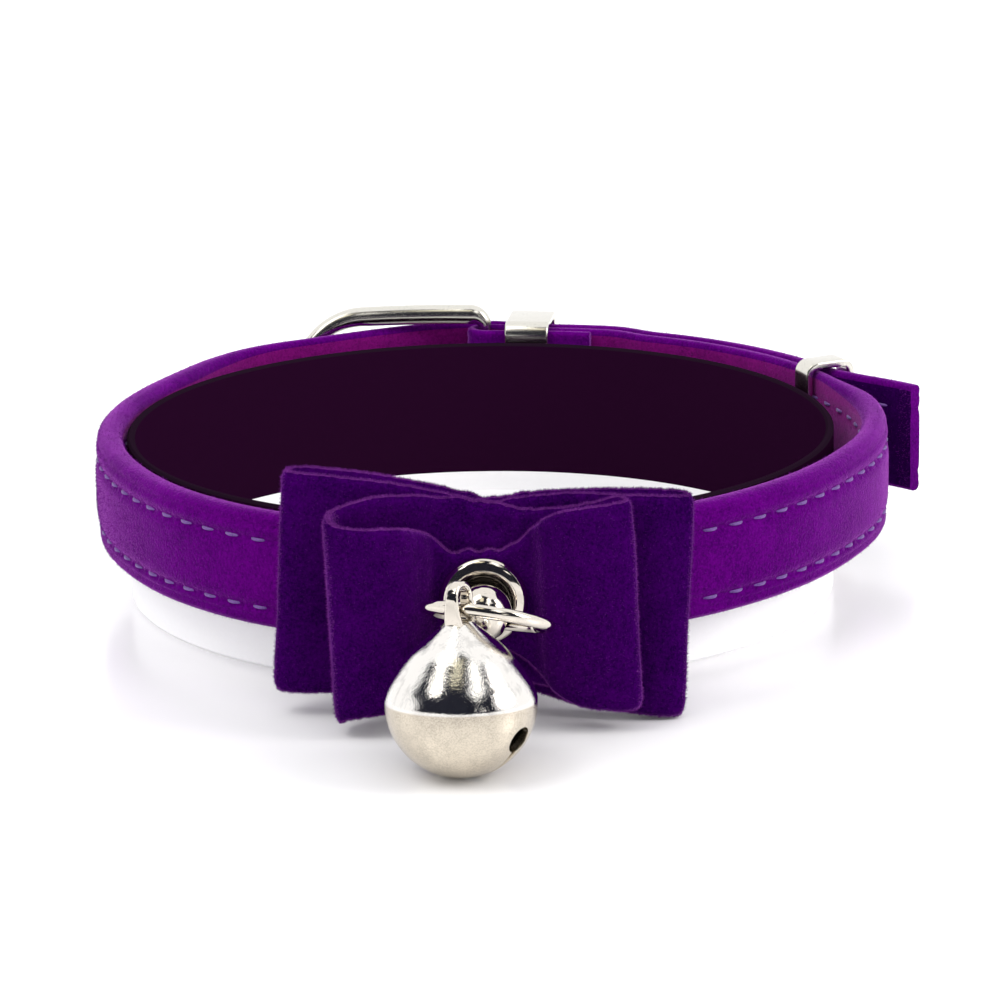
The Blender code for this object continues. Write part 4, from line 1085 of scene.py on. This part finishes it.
def bell_profile(inset):
    """Half section of the bell, top to bottom, drawn in by an inset."""
    rows = [(0.0, 1.0), *BELL_SHOULDER_PROFILE, (1.0, BELL_NECK_RADIUS / BELL_RADIUS)]
    points = []
    for share in np.linspace(1, 0, 40)[:-1]:
        points.append((BELL_RADIUS * through(rows, share), BELL_SHOULDER * share))
    for turn in np.radians(np.linspace(0, -90, 36)):
        points.append((BELL_RADIUS * math.cos(turn), BELL_RADIUS * math.sin(turn)))
    if inset:
        points = [(max(radius - inset, 0.0), height * (1 - inset / BELL_RADIUS)) for radius, height in points]
    return [(0.0, points[0][1])] + points[:-1] + [(0.0, points[-1][1])]


def make_bell():
    """Hollow pressed bell with a lug and a slit that ends in two round holes."""
    centre, axis = bell_axes()
    middle = NECK + centre
    # The second colour, for below the equator, is a painted reflection of the floor
    finish = bell_metal("bell nickel", (0.79, 0.765, 0.725), (0.635, 0.57, 0.47), axis, middle.dot(axis))
    side = Vector((1, 0, 0))
    matrix = Matrix.Translation(middle) @ Matrix((side, axis.cross(side), axis)).transposed().to_4x4()
    shell = turned_mesh("bell_shell", bell_profile(0.0), 160, [finish], matrix)
    cutters = [turned_mesh("bell_hollow", bell_profile(BELL_WALL), 64, [finish], matrix)]
    slit = math.radians(BELL_SLIT_TURN)
    direction = Vector((math.cos(slit), math.sin(slit), 0))
    drop = math.radians(BELL_HOLE_DROP)
    unplaced = Matrix.Translation(-NECK)
    for sign in (1, -1):
        way = (sign * direction * math.cos(drop) - Vector((0, 0, math.sin(drop)))).normalized()
        hole = cylinder("bell_hole", way * BELL_RADIUS, way, BELL_HOLE_RADIUS, BELL_RADIUS, 40)
        hole.data.transform(matrix @ unplaced)
        cutters.append(hole)
    low = -BELL_RADIUS * 1.1
    high = -BELL_RADIUS * math.sin(drop)
    size = (2.2 * BELL_RADIUS, BELL_SLIT_WIDTH, high - low)
    gap = block("bell_slit", Vector((0, 0, (low + high) / 2)), BELL_SLIT_TURN, size)
    gap.data.transform(matrix @ unplaced)
    cutters.append(gap)
    cut(shell, cutters)
    soften = shell.modifiers.new("lip", "BEVEL")
    soften.width = BELL_LIP
    soften.segments = 2
    soften.limit_method = "ANGLE"
    soften.angle_limit = math.radians(50)
    apply_modifiers(shell)
    shade(shell.data, 45)
    place(shell, "bell")
    make_lug(matrix)


def make_lug(matrix):
    """Flat strip bent into an arch on the bell's neck."""
    radius = BELL_LUG_RADIUS
    foot = [(side * radius, height * radius) for side, height in BELL_LUG_FOOT]
    arch = [(radius * math.cos(turn), BELL_LUG_STRAIGHT + radius * math.sin(turn))
            for turn in np.radians(np.linspace(180, 0, 9))]
    corners = foot + arch + [(-side, height) for side, height in foot[::-1]]
    path = curve_through([(side, 0, height) for side, height in corners], 46, False)
    highest = max(point.z for point in path)
    swing = Matrix.Rotation(math.pi / 2 + math.asin(BELL_SIDE_SHIFT / RING_RADIUS), 4, "Z")
    rows = []
    corner = BELL_LUG_EDGE_SHARE * BELL_LUG_THICKNESS
    section = rounded_outline(BELL_LUG_THICKNESS, BELL_LUG_WIDTH, corner, 5)
    for point, along in directed(path, False):
        across = Vector((along.z, 0, -along.x))
        lifted = point + UP * (BELL_SHOULDER + BELL_WIRE_HEIGHT)
        depth = (highest - point.z) / (BELL_LUG_REACH * radius)
        broad = BELL_LUG_TOP_SHARE + BELL_LUG_SPREAD * depth ** 1.5
        wide = Vector((0, broad, 0))
        rows.append([matrix @ (swing @ (lifted + across * a + wide * b)) for a, b in section])
    place(skinned("bell_lug", rows, [NICKEL], False))


def rounded_outline(width, height, corner, steps=3):
    """Points of a rounded rectangle, counter-clockwise from its right side."""
    points = []
    for side, level, start in ((1, 1, 0), (-1, 1, 90), (-1, -1, 180), (1, -1, 270)):
        for step in range(steps + 1):
            turn = math.radians(start + 90 * step / steps)
            across = side * (width / 2 - corner) + corner * math.cos(turn)
            along = level * (height / 2 - corner) + corner * math.sin(turn)
            points.append((across, along))
    return points


def make_keeper(name, node, angle, width):
    """Bent metal strip round the strap, with rounded edges."""
    spread = math.degrees(width / 2 / NECK_RADIUS)
    ends = (angle - spread, angle, angle + spread)
    inner = min(neck_side(end) for end in ends) - CLEARANCE
    outer = max(outer_run(end) for end in ends) + END_THICKNESS + CLEARANCE
    depth = outer - inner + KEEPER_WALL
    height = STRAP_WIDTH + 2 * CLEARANCE + KEEPER_WALL
    outline = rounded_outline(depth, height, KEEPER_CORNER - KEEPER_WALL / 2, 8)
    section = rounded_outline(KEEPER_WALL, width, KEEPER_EDGE_SHARE * KEEPER_WALL, 4)
    outward = polar(angle, 1.0)
    onward = UP.cross(outward)
    middle = NECK + polar(angle, (inner + outer) / 2, STRAP_MIDDLE)
    rows = []
    for point, along in directed([Vector(corner) for corner in outline], True):
        facing = outward * along.y - UP * along.x
        spot = middle + outward * point.x + UP * point.y
        rows.append([spot + facing * a + onward * b for a, b in section])
    place(skinned(name, rows, [BACK_NICKEL], True), node)


def frame_end_radius():
    """Radius at which the frame's far end lies over the strap."""
    return neck_side(FRAME_END_ANGLE) + END_THICKNESS + 2 * CLEARANCE + SIDE_BAR_RADIUS


def frame_length():
    """Length of the frame along its curve, between the middles of its end bars."""
    middle_radius = (HINGE_RADIUS + frame_end_radius()) / 2
    return math.radians(FRAME_END_ANGLE - HINGE_ANGLE) * middle_radius


def frame_point(place_along, level=0.0, out=0.0):
    """Point of the buckle's curved frame: distance from the hinge, height and stand-off."""
    share = place_along / frame_length()
    angle = HINGE_ANGLE + (FRAME_END_ANGLE - HINGE_ANGLE) * share
    radius = HINGE_RADIUS + (frame_end_radius() - HINGE_RADIUS) * share
    return polar(angle, radius + out, STRAP_MIDDLE + level)


def make_buckle_frame():
    """D-shaped wire frame: hinge bar, two stout side bars and a half-round end."""
    length = frame_length()
    half = STRAP_WIDTH / 2 + CLEARANCE + SIDE_BAR_RADIUS
    corner = SIDE_BAR_RADIUS + CLEARANCE
    rows = [(0.0, share * (half - corner), HINGE_BAR_RADIUS) for share in (0.0, 0.3, 0.6, 0.85)]
    for step in range(1, 9):
        turn = math.radians(90 * step / 8)
        radius = HINGE_BAR_RADIUS + (SIDE_BAR_RADIUS - HINGE_BAR_RADIUS) * step / 8
        rows.append((corner * (1 - math.cos(turn)), half - corner + corner * math.sin(turn), radius))
    for step in range(1, 8):
        rows.append((corner + (length - half - corner) * step / 8, half, SIDE_BAR_RADIUS))
    for step in range(25):
        turn = math.radians(90 - 90 * step / 24)
        radius = SIDE_BAR_RADIUS + (END_BAR_RADIUS - SIDE_BAR_RADIUS) * smooth(step / 15)
        rows.append((length - half + half * math.cos(turn), half * math.sin(turn), radius))
    rows += [(spot, -level, radius) for spot, level, radius in rows[-2:0:-1]]
    path = [frame_point(spot, level) for spot, level, radius in rows]
    radii = [radius for spot, level, radius in rows]
    place(wire("buckle_wire", path, radii, 24, BACK_NICKEL, looped=True), "buckle_frame")


def make_prong():
    """Wire curled round the hinge bar, up through the strap and over the frame's end."""
    curl = HINGE_BAR_RADIUS + CLEARANCE + PRONG_RADIUS
    hinge = frame_point(0.0)
    outward = polar(HINGE_ANGLE, 1.0)
    onward = polar(HINGE_ANGLE + 90, 1.0)
    points = []
    for step in range(13):
        turn = math.radians(-180 + 300 * step / 12)
        points.append(hinge + curl * (math.cos(turn) * onward + math.sin(turn) * outward))
    clear = CLEARANCE + PRONG_RADIUS
    strap_top = OVER_HINGE + END_THICKNESS + clear - HINGE_RADIUS
    seat = END_BAR_RADIUS + clear
    length = frame_length()
    bend = PRONG_RADIUS / 2
    course = ((1.35 * PRONG_RISE, strap_top), (2.0 * PRONG_RISE, strap_top + bend / 2),
              (0.75 * length, seat + bend), (length, seat), (length + PRONG_OVERHANG, seat - bend))
    points.append(hinge + onward * (0.75 * PRONG_RISE) + outward * (curl + strap_top) / 2)
    points += [frame_point(spot, out=out) for spot, out in course]
    path = curve_through(points, 110, False)
    radii = [PRONG_RADIUS * (1 - 0.45 * smooth((k - 96) / 13)) for k in range(110)]
    place(wire("prong_wire", path, radii, 20, BACK_NICKEL), "buckle_prong")


def make_display_band():
    """Plain band: pale outside below the strap, dark inside above a pale foot, with a dark rim; the outer
    face behind the strap is dark too, painted shade in the gap between band and strap.
    """
    radius = (BAND_HIGH.x - BAND_LOW.x) / 2
    height = BAND_HIGH.z
    inner = radius - DISPLAY_WALL
    top = height - DISPLAY_ROUND
    edge = radius - DISPLAY_ROUND
    profile = [(radius, top), (radius, STRAP_HEIGHT_OFF_FLOOR - DISPLAY_SKIRT_GAP), (radius, DISPLAY_ROUND),
               (edge, 0), (inner, 0), (inner, DISPLAY_FOOT), (inner, top), (inner + DISPLAY_ROUND, height),
               (edge, height)]
    # The outer face behind the strap takes the dark face: painted shade in the gap between band and strap
    picks = [1, 0, 0, 0, 0, 1, 2, 2, 2]
    matrix = Matrix.Translation(BAND_CENTRE)
    band = turned_mesh("display_ring", profile, 180, [PALE, DARK, RIM], matrix, picks, closed=True)
    place(band, "display_band")


def make_pieces():
    """Every visible piece of the collar."""
    back_plane, front_plane = front_planes()[:2]
    make_strap()
    make_stitches()
    back_walls = bow_walls(BACK_BOW_FRONT_WALL, BACK_BOW_BACK_WALL, BACK_BOW_WIDTH, BACK_BOW_DEPTH,
                           BACK_BOW_HEIGHT, back_plane)
    make_bow("back_bow_ribbon", "bow_back", back_walls, BACK_BOW_TILT, STUD_HEIGHT, 3.1, 0.12 * MM)
    front_walls = bow_walls(FRONT_BOW_FRONT_WALL, FRONT_BOW_BACK_WALL, FRONT_BOW_WIDTH, FRONT_BOW_DEPTH,
                            FRONT_BOW_HEIGHT, front_plane)
    make_bow("front_bow_ribbon", "bow_front", front_walls, FRONT_BOW_TILT, STUD_HEIGHT - FRONT_BOW_DROP,
             7.7, 0.22 * MM)
    make_washer()
    make_stud()
    make_jump_ring()
    make_bell()
    near = HINGE_ANGLE - arc_degrees(NEAR_KEEPER_GAP)
    make_keeper("near_keeper_loop", "keeper_near", near, NEAR_KEEPER_WIDTH)
    make_keeper("far_keeper_loop", "keeper_far", FAR_KEEPER_ANGLE, FAR_KEEPER_WIDTH)
    make_buckle_frame()
    make_prong()
    make_display_band()
    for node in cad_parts.values():
        for place_in in node.material_slots:
            place_in.material = NICKEL


def aim(obj, direction):
    """Turn an object so that its +Z points in a direction."""
    obj.rotation_euler = direction.to_track_quat("Z", "Y").to_euler()


def stage_plane(name, size, finish, location, facing=None):
    """Rectangle of the studio that isn't part of the object."""
    builder = bmesh.new()
    bmesh.ops.create_grid(builder, x_segments=1, y_segments=1, size=0.5)
    mesh = built(name, builder)
    mesh.transform(Matrix.Diagonal((*size, 1, 1)))
    mesh.materials.append(finish)
    obj = add_object(name, mesh)
    obj.location = location
    if facing is not None:
        aim(obj, facing - location)
    return obj


def glossy_only(obj):
    """Show a studio card in reflections alone."""
    obj.visible_camera = False
    obj.visible_diffuse = False
    obj.visible_shadow = False
    obj.visible_transmission = False


def glow(name, colour, strength):
    """Emission for a card of the studio."""
    nodes = Nodes(name)
    nodes.set(Base_Color=(0, 0, 0, 1), Roughness=1.0)
    nodes.set(Emission_Color=(*colour, 1.0), Emission_Strength=strength)
    return nodes.material


def area_light(name, location, target, size, power, colour):
    """Soft rectangular lamp aimed at a point."""
    lamp = bpy.data.lights.new(name, "AREA")
    lamp.shape = "RECTANGLE"
    lamp.size, lamp.size_y = size
    lamp.energy = power
    lamp.color = colour
    obj = add_object(name, lamp)
    obj.location = location
    aim(obj, location - target)


# Cards that only the metal mirrors: name, glow, turn and rise in degrees from the
# front of the bell, distance, width and height
REFLECTION_CARDS = (
    ("dark_card_a", "dark", -60, 24, 0.38, 0.17, 0.26),
    ("dark_card_b", "dark", -33, 26, 0.38, 0.19, 0.28),
    ("dark_card_c", "dark", -6, 28, 0.38, 0.20, 0.34),
    ("dark_card_d", "dark", 20, 28, 0.38, 0.19, 0.32),
    ("dark_card_e", "dark", 46, 25, 0.38, 0.18, 0.28),
    ("high_dark_card", "dark", -18, 64, 0.38, 0.27, 0.34),
    ("left_dark_card", "dark", -82, 40, 0.38, 0.13, 0.20),
    ("right_dark_card", "dark", 66, 46, 0.38, 0.10, 0.16),
    ("left_bright_card", "bright", -62, 54, 0.34, 0.045, 0.10),
    ("right_bright_card", "bright", 46, 61, 0.34, 0.06, 0.10),
    ("middle_bright_card", "bright", 31, 47, 0.34, 0.035, 0.09),
    ("low_bright_card", "bright", 33, 22, 0.34, 0.05, 0.035),
    ("window_card", "window", -15, 70, 0.34, 0.075, 0.10),
    ("ceiling_bright_card", "bright", -75, 70, 0.36, 0.14, 0.16),
)


# Glow of the cards: colour and strength
CARD_GLOWS = {
    "dark": ((0.25, 0.33, 1.0), 0.018),
    "window": ((1.0, 0.94, 0.72), 1.2),
    "bright": ((1.0, 0.985, 0.95), 2.4),
}

# Lamps: name, place from the neck's centre, size, power and colour
LAMPS = (
    ("key", (-0.30, -0.24, 0.52), (0.26, 0.26), 1.1, (1.0, 0.985, 0.96)),
    ("fill", (0.45, -0.15, 0.30), (0.20, 0.30), 1.3, (1.0, 0.97, 0.95)),
)
FLOOR_COLOUR = (0.93, 0.93, 0.935, 1.0)
SURROUNDINGS_COLOUR = (0.985, 0.985, 1.0, 1.0)
SURROUNDINGS_STRENGTH = 1.28

# Camera of the photo: lens and sensor in mm, place from the neck's centre, view direction, roll
CAMERA_LENS = 174.09
CAMERA_SENSOR = 36.0
CAMERA_PLACE = (0, -420.4 * MM, 122.4 * MM)
CAMERA_AHEAD = (0.0038, 0.9645, -0.2639)
CAMERA_ROLL = -0.89


def make_studio():
    """Glossy white floor, white surroundings, soft lamps and the cards that the metal mirrors."""
    nodes = Nodes("studio floor")
    nodes.set(Base_Color=FLOOR_COLOUR, Roughness=0.20, Specular_IOR_Level=0.5)
    stage_plane("floor", (4.0, 4.0), nodes.material, (0, 0, 0))
    world = bpy.data.worlds.new("white studio")
    bpy.context.scene.world = world
    world.use_nodes = True
    backdrop = world.node_tree.nodes["Background"]
    backdrop.inputs["Color"].default_value = SURROUNDINGS_COLOUR
    backdrop.inputs["Strength"].default_value = SURROUNDINGS_STRENGTH
    middle = NECK + Vector((0, -50 * MM, 8 * MM))
    for name, spot, size, power, colour in LAMPS:
        area_light(name, NECK + Vector(spot), middle, size, power, colour)
    glows = {kind: glow(f"{kind} card", *values) for kind, values in CARD_GLOWS.items()}
    for name, kind, turn, rise, distance, width, height in REFLECTION_CARDS:
        turn = math.radians(turn)
        rise = math.radians(rise)
        way = Vector((math.sin(turn) * math.cos(rise), -math.cos(turn) * math.cos(rise), math.sin(rise)))
        glossy_only(stage_plane(name, (width, height), glows[kind], middle + distance * way, middle))
    bpy.context.scene.view_settings.view_transform = "Standard"


def make_camera():
    """Camera of the photo, fitted to the strap's edges and given relative to the neck's centre."""
    camera = bpy.data.cameras.new("camera")
    camera.sensor_width = CAMERA_SENSOR
    camera.lens = CAMERA_LENS
    camera.clip_start = 0.01
    obj = add_object("camera", camera)
    ahead = Vector(CAMERA_AHEAD).normalized()
    roll = math.radians(CAMERA_ROLL)
    level_side = ahead.cross(UP).normalized()
    level_up = level_side.cross(ahead)
    side = level_side * math.cos(roll) + level_up * math.sin(roll)
    above = -level_side * math.sin(roll) + level_up * math.cos(roll)
    turn = Matrix((side, above, -ahead)).transposed().to_4x4()
    obj.matrix_world = Matrix.Translation(NECK + Vector(CAMERA_PLACE)) @ turn
    bpy.context.scene.camera = obj


make_camera()
make_pieces()
make_studio()
